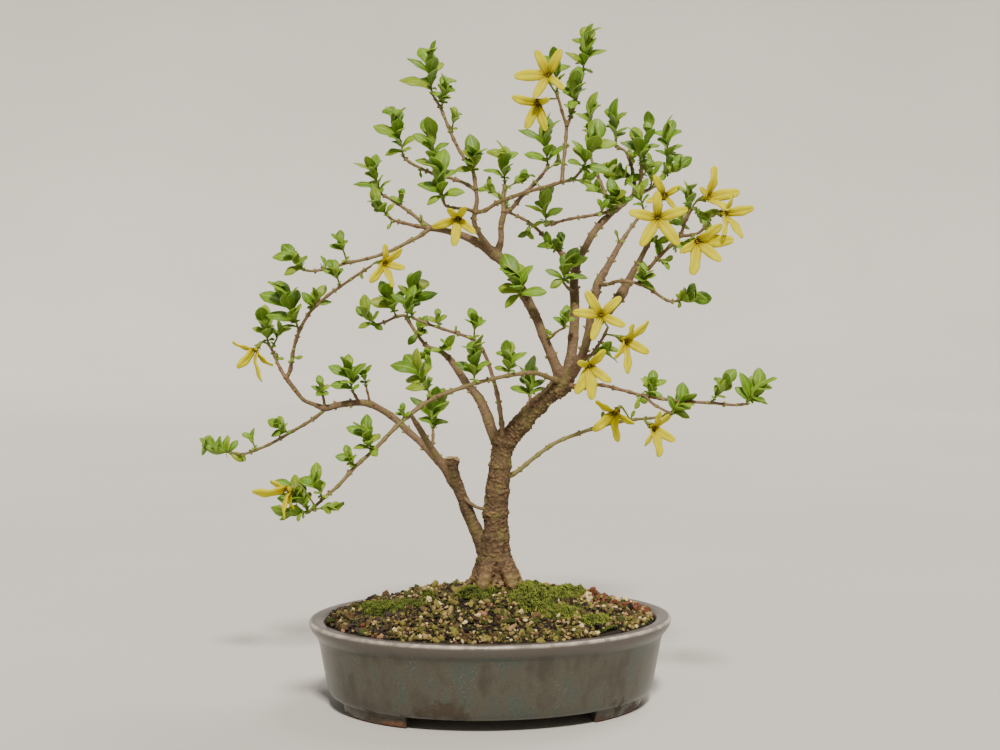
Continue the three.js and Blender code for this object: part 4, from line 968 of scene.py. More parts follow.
class Recipe:
    """A material under way, with its nodes and the shader at their end."""

    def __init__(self, name: str, values: dict[str, object]) -> None:
        """Starts the material.

        Args:
            name: The finish's name.
            values: The shader's own values, by socket.
        """
        self.material = bpy.data.materials.new(name)
        self.material.use_nodes = True
        self.tree = self.material.node_tree
        self.shader = self.tree.nodes["Principled BSDF"]
        for key, value in values.items():
            self.shader.inputs[key].default_value = value

    def add(self, kind: str, inputs: dict | tuple = (), stops: tuple[tuple[float, str], ...] = (),
            **settings: object) -> Node:
        """Adds a node with its settings and links.

        Args:
            kind: The node's type.
            inputs: A value, an sRGB hex colour, another node or its output for each input, by name
                or place, or in the node's own order.
            stops: A colour ramp's stops, each a place and an sRGB hex colour.
            **settings: The node's own settings.

        Returns:
            The node.
        """
        node = self.tree.nodes.new("ShaderNode" + kind)
        for name, value in settings.items():
            setattr(node, name, value)
        for key, value in inputs.items() if isinstance(inputs, dict) else enumerate(inputs):
            self.feed(node.inputs[key], value)
        while stops and len(node.color_ramp.elements) < len(stops):
            node.color_ramp.elements.new(1)
        for element, (at, code) in zip(node.color_ramp.elements if stops else (), stops):
            element.position = at
            element.color = colour(code)
        return node

    def feed(self, socket: NodeSocket, value: object) -> None:
        """Sets an input to a value or a colour, or links it to a node or its output.

        Args:
            socket: The input.
            value: A value, an sRGB hex colour, a node or an output.
        """
        if isinstance(value, Node):
            value = next(output for output in value.outputs if output.enabled)
        if isinstance(value, NodeSocket):
            self.tree.links.new(value, socket)
        else:
            socket.default_value = colour(value) if isinstance(value, str) else value

    def read(self, name: str) -> NodeSocket:
        """Gives the piece's attribute of a name, as coordinates where it is the grain."""
        mark = self.add("Attribute", attribute_name=name)
        return mark.outputs["Vector" if name == "grain" else "Fac"]

    def end(self, links: dict[str, Node]) -> Material:
        """Links the shader's inputs.

        Args:
            links: The node or output for each of them, by name.

        Returns:
            The finished material.
        """
        for key, node in links.items():
            self.feed(self.shader.inputs[key], node)
        return self.material


@dataclass(frozen=True)
class CeladonGlaze:
    """Grey-green celadon on stoneware, fired matt: fine light and dark specks, a broken pale line along
    the lip's outer edge that is a painted highlight, a lip top darkened partly as painted shade, and
    bare brown clay where the glaze ran thin or broke off, which low on the pot is partly painted shade."""

    lit: str = "#444237"
    shade: str = "#373329"
    blue: str = "#3b433c"
    lip: str = "#514a44"
    # Painted highlight: a broken pale line along the lip's outer edge.
    crest_highlight: str = "#b5aa9f"
    # The lip's top face: its own mauve-brown, made darker as painted shade.
    rim: str = "#4b4443"
    # Bare brown clay; in the lowest band it also stands for painted shade near the floor.
    clay: str = "#382f22"
    foot: str = "#64412b"
    pale: str = "#716f64"
    dark: str = "#2b2a25"
    speck: float = 0.9  # millimetres, drawn a little coarser than it is so that it shows
    mottle: float = 22.0  # millimetres
    run: float = 7.7  # millimetres between the streaks where the glaze ran down
    ragged: float = 7.0  # millimetres, the unevenness along the edges of wear

    def make(self) -> Material:
        """Makes the material.

        Returns:
            The material.
        """
        # A glaze is glass over clay. Fired matt, it shows soft broad lights on the lip and the wall
        # and no mirror, and bare clay beside it looks dry.
        mix = Recipe("celadon_glaze", {"Roughness": 0.38, "IOR": 1.5})
        place = mix.add("TexCoord").outputs["Object"]
        cloud = mix.add("TexNoise", {"Vector": place, "Scale": 1 / (self.mottle * MM), "Detail": 5.0,
                                     "Roughness": 0.6})
        runs = mix.add("Mapping", {"Vector": place, "Scale": (1.0, 1.0, 0.3)})
        streak = mix.add("TexNoise", {"Vector": runs, "Scale": 1 / (self.run * MM), "Detail": 4.0})
        flow = mix.add("Math", (streak, cloud), operation="ADD")
        grit = mix.add("TexNoise", {"Vector": place, "Scale": 1 / (self.speck * MM), "Detail": 2.0})
        light = mix.add("MapRange", (grit, 0.6, 0.72))
        patch = mix.add("MapRange", (streak, 0.46, 0.66, 0.1, 0.6))
        parts = mix.add("SeparateXYZ", {"Vector": mix.read("grain")}).outputs
        ragged = mix.add("TexNoise", {"Vector": place, "Scale": 1 / (self.ragged * MM), "Detail": 6.0,
                                      "Roughness": 0.6})
        # Breaks up the painted highlight along the lip's outer edge.
        thin = mix.add("MapRange", (ragged, 0.4, 0.6, 0.35))
        worn = mix.add("Math", (parts["Y"], ragged), operation="ADD")
        fired = mix.add("Math", (parts["Z"], ragged), operation="ADD")
        bare = mix.add("MapRange", (worn, 0.88, 1.02))
        raw = mix.add("MapRange", (fired, 0.95, 1.02))
        body = mix.add("ValToRGB", {"Fac": flow}, ((0.78, self.shade), (0.98, self.lit)))
        layers = (
            (mix.add("MapRange", (flow, 1.0, 1.16)), self.blue),
            (mix.add("Math", (light, patch), operation="MULTIPLY"), self.pale),
            (mix.add("MapRange", (grit, 0.4, 0.31, 0.0, 0.6)), self.dark),
            (parts["X"], self.lip),
            # The kind darkens the lip's top face, partly as painted shade.
            (mix.read("kind"), self.rim),
            # The tone marks the painted highlight along the lip's outer edge.
            (mix.add("Math", (mix.read("tone"), thin), operation="MULTIPLY"), self.crest_highlight),
            (bare, self.clay),
            (raw, self.foot),
        )
        for share, tint in layers:
            body = mix.add("Mix", {0: share, 6: body, 7: tint}, data_type="RGBA")
        matt = mix.add("Math", (bare, raw), operation="MAXIMUM")
        gloss = mix.add("MapRange", (matt, 0.0, 1.0, 0.3, 0.7))
        bump = mix.add("Bump", {"Height": grit, "Strength": 0.25, "Distance": 0.25 * MM})
        chip = mix.add("Bump", {"Height": matt, "Strength": 0.5, "Distance": 0.4 * MM, "Normal": bump},
                       invert=True)
        return mix.end({"Base Color": body, "Roughness": gloss, "Normal": chip})


@dataclass(frozen=True)
class Grit:
    """Fired clay granules, pumice and crumbs of humus: dull, porous and of mixed colours."""

    name: str
    stops: tuple[tuple[float, str], ...]
    pore: float = 0.5  # millimetres

    def make(self) -> Material:
        """Makes the material. A granule's tone picks its colour.

        Returns:
            The material.
        """
        # Porous grains scatter the light, so each looks dry, with dark pinholes and no highlight.
        mix = Recipe(self.name, {"Roughness": 0.9, "IOR": 1.45})
        mark = mix.read("grain")
        tone = mix.read("tone")
        body = mix.add("ValToRGB", {"Fac": tone}, self.stops)
        body.color_ramp.interpolation = "CONSTANT"
        pores = mix.add("TexNoise", {"Vector": mark, "Scale": 1 / self.pore, "Detail": 4.0})
        shadow = mix.add("MapRange", (pores, 0.3, 0.65, 0.62, 1.15))
        grains = mix.add("Mix", {0: 1.0, 6: body, 7: shadow}, data_type="RGBA", blend_type="MULTIPLY")
        bump = mix.add("Bump", {"Height": pores, "Strength": 0.7, "Distance": 0.25 * MM})
        return mix.end({"Base Color": grains, "Normal": bump})


@dataclass(frozen=True)
class Moss:
    """Living cushion moss: soft and matt, bright at its tips and dark between them, partly its own colour
    and partly painted shade.
    """

    # The deep colour at the tufts' feet is partly the moss's own and partly painted shade.
    deep: str = "#14160c"
    leaf: str = "#4a5522"
    tip: str = "#85903a"

    def make(self) -> Material:
        """Makes the material. The grain's height tells the tips from the depths.

        Returns:
            The material.
        """
        # Bright tips over dark gaps, partly the moss's own colour and partly painted shade between its
        # shoots, and no gloss at all.
        mix = Recipe("cushion_moss", {"Roughness": 0.9, "Specular IOR Level": 0.1})
        mark = mix.read("grain")
        parts = mix.add("SeparateXYZ", {"Vector": mark}).outputs
        tone = mix.read("tone")
        vary = mix.add("Math", (parts["Z"], tone), operation="MULTIPLY")
        body = mix.add("ValToRGB", {"Fac": vary}, ((0.0, self.deep), (0.4, self.leaf), (1.0, self.tip)))
        return mix.end({"Base Color": body})


@dataclass(frozen=True)
class Bark:
    """Forsythia bark: tan-brown and corky on old wood, in short ridges across the stem, and
    smoother and pinkish on the limbs, with a film of algae in places."""

    # Pits and lifted flakes: the bark's own browns, made darker in the cracks and paler on the flakes as
    # painted shade and light.
    old: tuple[str, str, str] = ("#3f2f1e", "#675036", "#90734b")  # pits, body, crests
    young: tuple[str, str, str] = ("#4d3a2a", "#705a42", "#977e60")
    algae: str = "#6e6b30"
    ridge: float = 1.5  # millimetres along the stem
    stain: float = 7.7  # millimetres, the size of a patch of algae

    def make(self) -> Material:
        """Makes the material. The tone is how high the bark stands, and the kind is its age.

        Returns:
            The material.
        """
        # Cork is dull. Its colour follows the relief: paler on the lifted flakes and darker in the cracks,
        # partly the bark's own browns and partly painted light and shade.
        mix = Recipe("forsythia_bark", {"Roughness": 0.8, "IOR": 1.45})
        mark = mix.read("grain")
        tone = mix.read("tone")
        kind = mix.read("kind")
        squat = mix.add("Mapping", {"Vector": mark, "Scale": (0.6, 0.6, 1.0)})
        scales = mix.add("TexNoise", {"Vector": squat, "Scale": 1 / self.ridge, "Detail": 6.0,
                                      "Roughness": 0.65})
        height = mix.add("Math", (scales, 0.8, -0.4), operation="MULTIPLY_ADD")
        # The colour follows the height, so it carries painted light on the flakes and painted shade in the
        # cracks.
        stand = mix.add("Math", (height, tone), operation="ADD")
        corky = mix.add("ValToRGB", {"Fac": stand}, tuple(zip((0.1, 0.42, 0.85), self.old)))
        smooth = mix.add("ValToRGB", {"Fac": stand}, tuple(zip((0.0, 0.4, 0.9), self.young)))
        body = mix.add("Mix", {0: kind, 6: smooth, 7: corky}, data_type="RGBA")
        moist = mix.add("TexNoise", {"Vector": mark, "Scale": 1 / self.stain, "Detail": 5.0})
        film = mix.add("MapRange", (moist, 0.47, 0.7, 0.0, 0.5))
        green = mix.add("Mix", {0: film, 6: body, 7: self.algae}, data_type="RGBA")
        bump = mix.add("Bump", {"Height": scales, "Strength": 0.8, "Distance": 0.4 * MM})
        return mix.end({"Base Color": green, "Normal": bump})


@dataclass(frozen=True)
class SawnWood:
    """The end grain of a pruned limb, weathered grey-yellow."""

    pale: str = "#b39a6c"
    dark: str = "#7d6a45"
    fibre: float = 0.7  # millimetres, drawn coarser than it is so that it shows

    def make(self) -> Material:
        """Makes the material.

        Returns:
            The material.
        """
        # Cut fibres stand on end, so the face looks paler than bark, rough and without sheen.
        mix = Recipe("sawn_end_grain", {"Roughness": 0.9})
        place = mix.add("TexCoord").outputs["Object"]
        rays = mix.add("TexNoise", {"Vector": place, "Scale": 1 / (self.fibre * MM), "Detail": 5.0})
        body = mix.add("ValToRGB", {"Fac": rays}, ((0.35, self.dark), (0.62, self.pale)))
        bump = mix.add("Bump", {"Height": rays, "Strength": 0.6, "Distance": 0.3 * MM})
        return mix.end({"Base Color": body, "Normal": bump})


@dataclass(frozen=True)
class YoungBark:
    """The smooth reddish bark of last year's twigs, dotted with pale lenticels; the kind turns it
    to the olive of a greener twig."""

    red: str = "#5e3f2a"
    tan: str = "#80654a"
    olive: str = "#6e6a32"
    dot: str = "#a58a68"
    streak: float = 0.91  # millimetres across the twig
    lenticel: float = 1.11  # millimetres from one to the next

    def make(self) -> Material:
        """Makes the material.

        Returns:
            The material.
        """
        # Thin bark is smoother than cork: a faint sheen along the twig, broken by pale raised dots.
        mix = Recipe("young_bark", {"Roughness": 0.6, "IOR": 1.45})
        mark = mix.read("grain")
        kind = mix.read("kind")
        streak = mix.add("Mapping", {"Vector": mark, "Scale": (1.0, 1.0, 0.3)})
        run = mix.add("TexNoise", {"Vector": streak, "Scale": 1 / self.streak, "Detail": 5.0})
        body = mix.add("ValToRGB", {"Fac": run}, ((0.32, self.red), (0.68, self.tan)))
        fresh = mix.add("Mix", {0: kind, 6: body, 7: self.olive}, data_type="RGBA")
        spots = mix.add("TexVoronoi", {"Vector": mark, "Scale": 1 / self.lenticel})
        near = mix.add("MapRange", (spots, 0.28, 0.18, 0.0, 0.7))
        dots = mix.add("Mix", {0: near, 6: fresh, 7: self.dot}, data_type="RGBA")
        bump = mix.add("Bump", {"Height": near, "Strength": 0.5, "Distance": 0.15 * MM})
        return mix.end({"Base Color": dots, "Normal": bump})


@dataclass(frozen=True)
class Leaf:
    """A young forsythia leaf: soft green with a paler rib and rim, and greyer underneath."""

    deep: str = "#56780f"
    fresh: str = "#6b9011"
    young: str = "#85931b"
    under: str = "#7c9c34"
    rib: str = "#93ad48"
    mottle: float = 5.0  # millimetres
    veins: float = 9.0  # twice the number of side veins on each half

    def make(self) -> Material:
        """Makes the material. The grain runs along and across the blade.

        Returns:
            The material.
        """
        # A young leaf is thin and a little waxy: light shines through it, so its shaded side glows
        # green, and its upper side has a soft sheen.
        mix = Recipe("spring_leaf", {"Roughness": 0.5, "IOR": 1.42, "Subsurface Weight": 0.65,
                                     "Subsurface Radius": (0.4, 0.8, 0.1), "Subsurface Scale": MM})
        mark = mix.read("grain")
        tone = mix.read("tone")
        kind = mix.read("kind")
        parts = mix.add("SeparateXYZ", {"Vector": mark}).outputs
        hand = mix.add("Math", (parts["Y"],), operation="ABSOLUTE")
        body = mix.add("ValToRGB", {"Fac": tone},
                       ((0.0, self.deep), (0.55, self.fresh), (1.0, self.young)))
        place = mix.add("TexCoord").outputs["Object"]
        cloud = mix.add("TexNoise", {"Vector": place, "Scale": 1 / (self.mottle * MM), "Detail": 3.0})
        mottle = mix.add("MapRange", (cloud, 0.3, 0.7, 0.8, 1.15))
        varied = mix.add("Mix", {0: 1.0, 6: body, 7: mottle}, data_type="RGBA", blend_type="MULTIPLY")
        below = mix.add("Math", (kind, 0.75), operation="MULTIPLY")
        faces = mix.add("Mix", {0: below, 6: varied, 7: self.under}, data_type="RGBA")
        slant = mix.add("Math", (parts["X"], self.veins), operation="MULTIPLY")
        drawn = mix.add("Math", (hand, -2.4, slant), operation="MULTIPLY_ADD")
        wave = mix.add("Math", (drawn, 1.0), operation="PINGPONG")
        vein = mix.add("MapRange", (wave, 0.16, 0.0, 0.0, 0.14))
        rib = mix.add("MapRange", (hand, 0.14, 0.04, 0.0, 0.75))
        rim = mix.add("MapRange", (hand, 0.9, 1.0, 0.0, 0.5))
        lines = mix.add("Math", (vein, rib), operation="MAXIMUM")
        edges = mix.add("Math", (lines, rim), operation="MAXIMUM")
        drawing = mix.add("Mix", {0: edges, 6: faces, 7: self.rib}, data_type="RGBA")
        bump = mix.add("Bump", {"Height": rib, "Strength": 0.4, "Distance": 0.2 * MM}, invert=True)
        return mix.end({"Base Color": drawing, "Normal": bump})


@dataclass(frozen=True)
class SoftStem:
    """The soft green of shoots and of the blooms' stalks, mottled with yellow-green."""

    name: str = "soft_stem"
    low: str = "#626f26"
    high: str = "#86943a"
    mottle: float = 1.43  # millimetres

    def make(self) -> Material:
        """Makes the material.

        Returns:
            The material.
        """
        # Soft green tissue lets a little light in, so its edges look clear and its sheen is dull.
        mix = Recipe(self.name, {"Roughness": 0.5, "IOR": 1.45, "Subsurface Weight": 0.15,
                                 "Subsurface Radius": (0.4, 0.8, 0.1), "Subsurface Scale": MM})
        mark = mix.read("grain")
        run = mix.add("TexNoise", {"Vector": mark, "Scale": 1 / self.mottle, "Detail": 4.0})
        body = mix.add("ValToRGB", {"Fac": run}, ((0.35, self.low), (0.65, self.high)))
        return mix.end({"Base Color": body})


@dataclass(frozen=True)
class Petal:
    """A forsythia petal: clear yellow, thin and a little glossy, deeper towards the throat, where
    brownish lines run out of the tube. Darker bands along its pleats are painted shade, and the dark
    inside of the tube is partly its olive and partly painted shade."""

    bright: str = "#d0c800"
    body: str = "#bdb000"
    deep: str = "#93840c"
    # The inside of the tube: its olive, darkened partly as painted shade.
    dark: str = "#5f5209"
    line: str = "#6a5a08"
    pleats: float = 3.4  # folds up and down from a petal's middle to its edge

    def make(self) -> Material:
        """Makes the material. The grain runs along and across the petal.

        Returns:
            The material.
        """
        # A petal is thin and satiny and hardly shines. Its pleats show as soft darker bands: painted shade
        # in the creases, over the bump.
        mix = Recipe("forsythia_petal", {"Roughness": 0.5, "IOR": 1.4, "Specular IOR Level": 0.15})
        mark = mix.read("grain")
        tone = mix.read("tone")
        parts = mix.add("SeparateXYZ", {"Vector": mark}).outputs
        ridges = mix.add("Math", (parts["Y"], self.pleats), operation="MULTIPLY")
        fold = mix.add("Math", (ridges, 1.0), operation="PINGPONG")
        crease_shade_and_lines = mix.add("MapRange", (fold, 0.35, 0.1))
        # Darkens the colour in the pleats' creases: painted shade.
        shaded = mix.add("Math", (crease_shade_and_lines, -0.22, parts["X"]), operation="MULTIPLY_ADD")
        along = mix.add("Math", (shaded, parts["X"]), operation="MULTIPLY")
        root = mix.add("Math", (along,), operation="SQRT")
        vary = mix.add("Math", (tone, 0.1, root), operation="MULTIPLY_ADD")
        body = mix.add("ValToRGB", {"Fac": vary},
                       ((0.02, self.dark), (0.08, self.deep), (0.19, self.body), (0.75, self.bright)))
        inner = mix.add("MapRange", (parts["X"], 0.3, 0.08, 0.0, 0.3))
        lines = mix.add("Math", (crease_shade_and_lines, inner), operation="MULTIPLY")
        drawing = mix.add("Mix", {0: lines, 6: body, 7: self.line}, data_type="RGBA")
        bump = mix.add("Bump", {"Height": fold, "Strength": 0.35, "Distance": 0.25 * MM})
        return mix.end({"Base Color": drawing, "Normal": bump})


@dataclass(frozen=True)
class Plain:
    """A finish with a faint unevenness, for small pieces: moulded plastic, anthers and the floor."""

    name: str
    low: str
    high: str
    roughness: float
    size: float  # millimetres

    def make(self) -> Material:
        """Makes the material.

        Returns:
            The material.
        """
        # An even surface without grain: only its gloss and a slow change of tone tell what it is.
        mix = Recipe(self.name, {"Roughness": self.roughness})
        place = mix.add("TexCoord").outputs["Object"]
        cloud = mix.add("TexNoise", {"Vector": place, "Scale": 1 / (self.size * MM), "Detail": 3.0})
        body = mix.add("ValToRGB", {"Fac": cloud}, ((0.35, self.low), (0.65, self.high)))
        return mix.end({"Base Color": body})


# Assemblies


OVAL_DROP = 23  # millimetres by which the oval's half width is less than its half length
OVAL_CORE = 70  # the half length in millimetres under which both shrink alike


def half_width(half: float) -> float:
    """Gives the oval's half width where its half length is as given, both in millimetres."""
    return half - OVAL_DROP if half > OVAL_CORE else half * (1 - OVAL_DROP / OVAL_CORE)


def oval_share(x: float, y: float, half: float) -> float:
    """Gives how near a point of the plan is to an oval's edge: 0 at the middle and 1 on it."""
    return math.hypot(x / half, y / half_width(half))


def spun(profile: list[tuple[float, float]], turns: int) -> BMesh:
    """Spins a closed profile to a solid and draws it in to the pot's oval.

    Args:
        profile: Points of half length and height in millimetres, from the axis to the axis.
        turns: How many steps the full turn has.

    Returns:
        The shape in millimetres, about the origin.
    """
    bm = Piece.blank()
    spin_round(bm, profile, turns)
    for vert in bm.verts:
        half = math.hypot(vert.co.x, vert.co.y)
        if half > WELD:
            vert.co.y *= half_width(half) / half
    return bm


def eased(profile: list[tuple[float, float]], parts: int) -> list[tuple[float, float]]:
    """Rounds a profile by running a smooth line through its points.

    Args:
        profile: Points of half length and height.
        parts: How many steps lie between two points.

    Returns:
        The finer profile.
    """
    line = Line([Vector((half, 0, height)) for half, height in profile], [1.0] * len(profile))
    count = parts * (len(profile) - 1)
    marks = [line.point(i / count) for i in range(count + 1)]
    return [(max(mark.x, 0), mark.z) for mark in marks]


@dataclass
class GlazedPot:
    """The oval pot: a thick-walled bowl with a rolled lip and four bracket feet. Millimetres."""

    outer: list[tuple[float, float]] = field(default_factory=lambda: [
        (84, 6), (86.8, 6.5), (88.8, 8.2), (89.9, 10.8), (92.5, 24), (95.3, 38.5), (96.4, 40.0),
        (97.6, 41.4), (98.9, 43.2), (99.8, 45.4), (99.9, 46.9), (99.2, 47.8), (97.6, 48.1),
        (95, 48.0), (92.8, 47.6), (91.5, 46.7)])
    inner: list[tuple[float, float]] = field(default_factory=lambda: [
        (90.7, 44.6), (89.4, 38), (86.4, 27), (83.4, 16.4), (81, 12.8), (76, 12)])
    floor: float = 12
    drain: float = 7
    drain_place: float = 42
    base: float = 6
    steps: int = 160
    foot_from: float = 35.6  # degrees from the front or back
    foot_to: float = 73.5
    foot_length: float = 60
    foot_depth: float = 12
    foot_height: float = 9
    foot_edge: float = 1.6
    foot_reach: float = 88  # the half length of the oval that the feet follow
    foot_inset: float = 2
    # Where the glaze is worn to brown clay, or chipped off a foot to red clay, on the front view:
    # pixels across and down, half sizes, and how strongly.
    worn: list[tuple[float, ...]] = field(default_factory=lambda: [
        (443, 712, 30, 9, 0.72), (615, 703, 34, 9, 0.5), (396, 722, 12, 6, 0.8), (372, 712, 24, 6, 0.5),
        (636, 714, 12, 6, 0.5)])
    chipped: list[tuple[float, ...]] = field(default_factory=lambda: [(393, 722, 15, 6, 0.75)])

    @staticmethod
    def patchy(point: Vector, patches: list[tuple[float, ...]], fade: float) -> float:
        """Gives how strongly the front is marked at a point.

        Args:
            point: The point in metres.
            patches: Where it is marked.
            fade: How much weaker a mark is a half size away from its middle.

        Returns:
            The strength, which is 0 on the back.
        """
        if (point - MIDDLE).dot(SIGHT) > 0:
            return 0
        across, down = seen(point)
        return max(0, *(peak - fade * math.hypot((across - x) / wide, (down - y) / high)
                        for x, y, wide, high, peak in patches))

    def body(self) -> BMesh:
        """Spins the bowl.

        Returns:
            The bowl in millimetres.
        """
        outer, inner = eased(self.outer, 3), eased(self.inner, 2)
        under = [(half, self.base) for half in (0, 30, 60)]
        inside = [(half, self.floor) for half in (50, 20, 0)]
        return spun([*under, *outer, *inner, *inside], self.steps)

    def foot(self, right: int, back: int) -> BMesh:
        """Makes a foot: a bevelled bar that is bent along the oval's edge.

        Args:
            right: 1 for the right end of the pot and -1 for the left.
            back: 1 for the back and -1 for the front.

        Returns:
            The foot in millimetres.
        """
        bm = Piece.blank()
        bmesh.ops.create_cube(bm, size=1)
        for vert in bm.verts:
            vert.co = Vector((vert.co.x * self.foot_length, vert.co.y * self.foot_depth,
                              (vert.co.z + 0.5) * self.foot_height))
        bmesh.ops.bevel(bm, geom=bm.edges[:], offset=self.foot_edge, segments=3, profile=0.5,
                        affect="EDGES", material=-1)
        runs = [e for e in bm.edges if abs(e.verts[0].co.x - e.verts[1].co.x) > self.foot_length / 3]
        bmesh.ops.subdivide_edges(bm, edges=runs, cuts=13)
        for vert in bm.verts:
            along = vert.co.x / self.foot_length + 0.5
            deeper = vert.co.y / self.foot_depth + 0.5
            angle = math.radians(blend(self.foot_from + 6 * deeper, self.foot_to - 2 * deeper, along))
            draft = 0.25 * (self.base - min(vert.co.z, self.base))
            half = self.foot_reach - self.foot_inset - self.foot_depth * deeper - draft
            vert.co = Vector((right * half * math.sin(angle), back * half_width(half) * math.cos(angle),
                              max(vert.co.z, 0)))
        return bm

    def drill(self) -> Object:
        """Makes what cuts the two drain holes.

        Returns:
            Two upright rods as one object.
        """
        bm = bmesh.new()
        for hand in (1, -1):
            bmesh.ops.create_cone(bm, cap_ends=True, segments=32, radius1=self.drain, radius2=self.drain,
                                  depth=30, matrix=Matrix.Translation((hand * self.drain_place, 0, 9)))
        mesh = bpy.data.meshes.new("drill")
        bm.to_mesh(mesh)
        bm.free()
        return show("drill", mesh)

    def mark(self, bm: BMesh) -> None:
        """Moves the pot to its place, and tells its lip, its wear and its raw clay apart.

        The tone is a painted highlight along the lip's outer edge, and the kind is the lip's top inside
        it, darkened partly as painted shade. The grain holds how far the glaze is the lip's, worn thin, or
        missing; the worn share at the foot is partly painted shade.

        Args:
            bm: The pot in millimetres.
        """
        layers = bm.verts.layers
        grain, tone, kind = layers.float_vector["grain"], layers.float["tone"], layers.float["kind"]
        for vert in bm.verts:
            x, y, z = vert.co
            rim = oval_share(x, y, 98)
            # The tone: a painted highlight along the lip's outer edge.
            vert[tone] = step(46.0, 47.2, z) * step(1.002, 1.010, rim)
            # The kind: the lip's top face, darkened partly as painted shade.
            vert[kind] = step(46.2, 47.2, z) * (1 - step(1.0, 1.008, rim))
            outside = z < 44 or math.hypot(x, y * 1.25) > 90
            lip = step(40.6, 42.4, z) if outside else 0
            underside = 5 < z < 13 and oval_share(x, y, 84) < 0.99
            raw = 1 if underside else 1 - step(0.1, 2.6, z)
            # The lowest band turns to bare clay: the feet's own clay, and partly painted shade near the
            # floor.
            foot = 0.5 * (1 - step(5, 7, z))
            vert.co = vert.co * MM + MIDDLE
            vert[grain] = (lip * 0.8, max(self.patchy(vert.co, self.worn, 0.34), foot),
                           max(raw * 0.6, self.patchy(vert.co, self.chipped, 0.4)))

    def build(self) -> Object:
        """Puts the bowl and its feet together, drills it and glazes it.

        Returns:
            The pot.
        """
        whole = Piece("glazed_oval_pot", [CeladonGlaze().make()])
        whole.add(self.body())
        for right in (1, -1):
            for back in (1, -1):
                whole.add(self.foot(right, back))
        bmesh.ops.recalc_face_normals(whole.bm, faces=whole.bm.faces[:])
        solid = show("pot_blank", bpy.data.meshes.new("pot_blank"))
        whole.bm.to_mesh(solid.data)
        drill = self.drill()
        cut = solid.modifiers.new("drains", "BOOLEAN")
        cut.operation = "DIFFERENCE"
        cut.object = drill
        cut.solver = "EXACT"
        whole.bm.clear()
        take(whole.bm, applied(solid))
        bpy.data.objects.remove(drill)
        self.mark(whole.bm)
        return whole.finish(Slot.GLAZE, ["pot"])


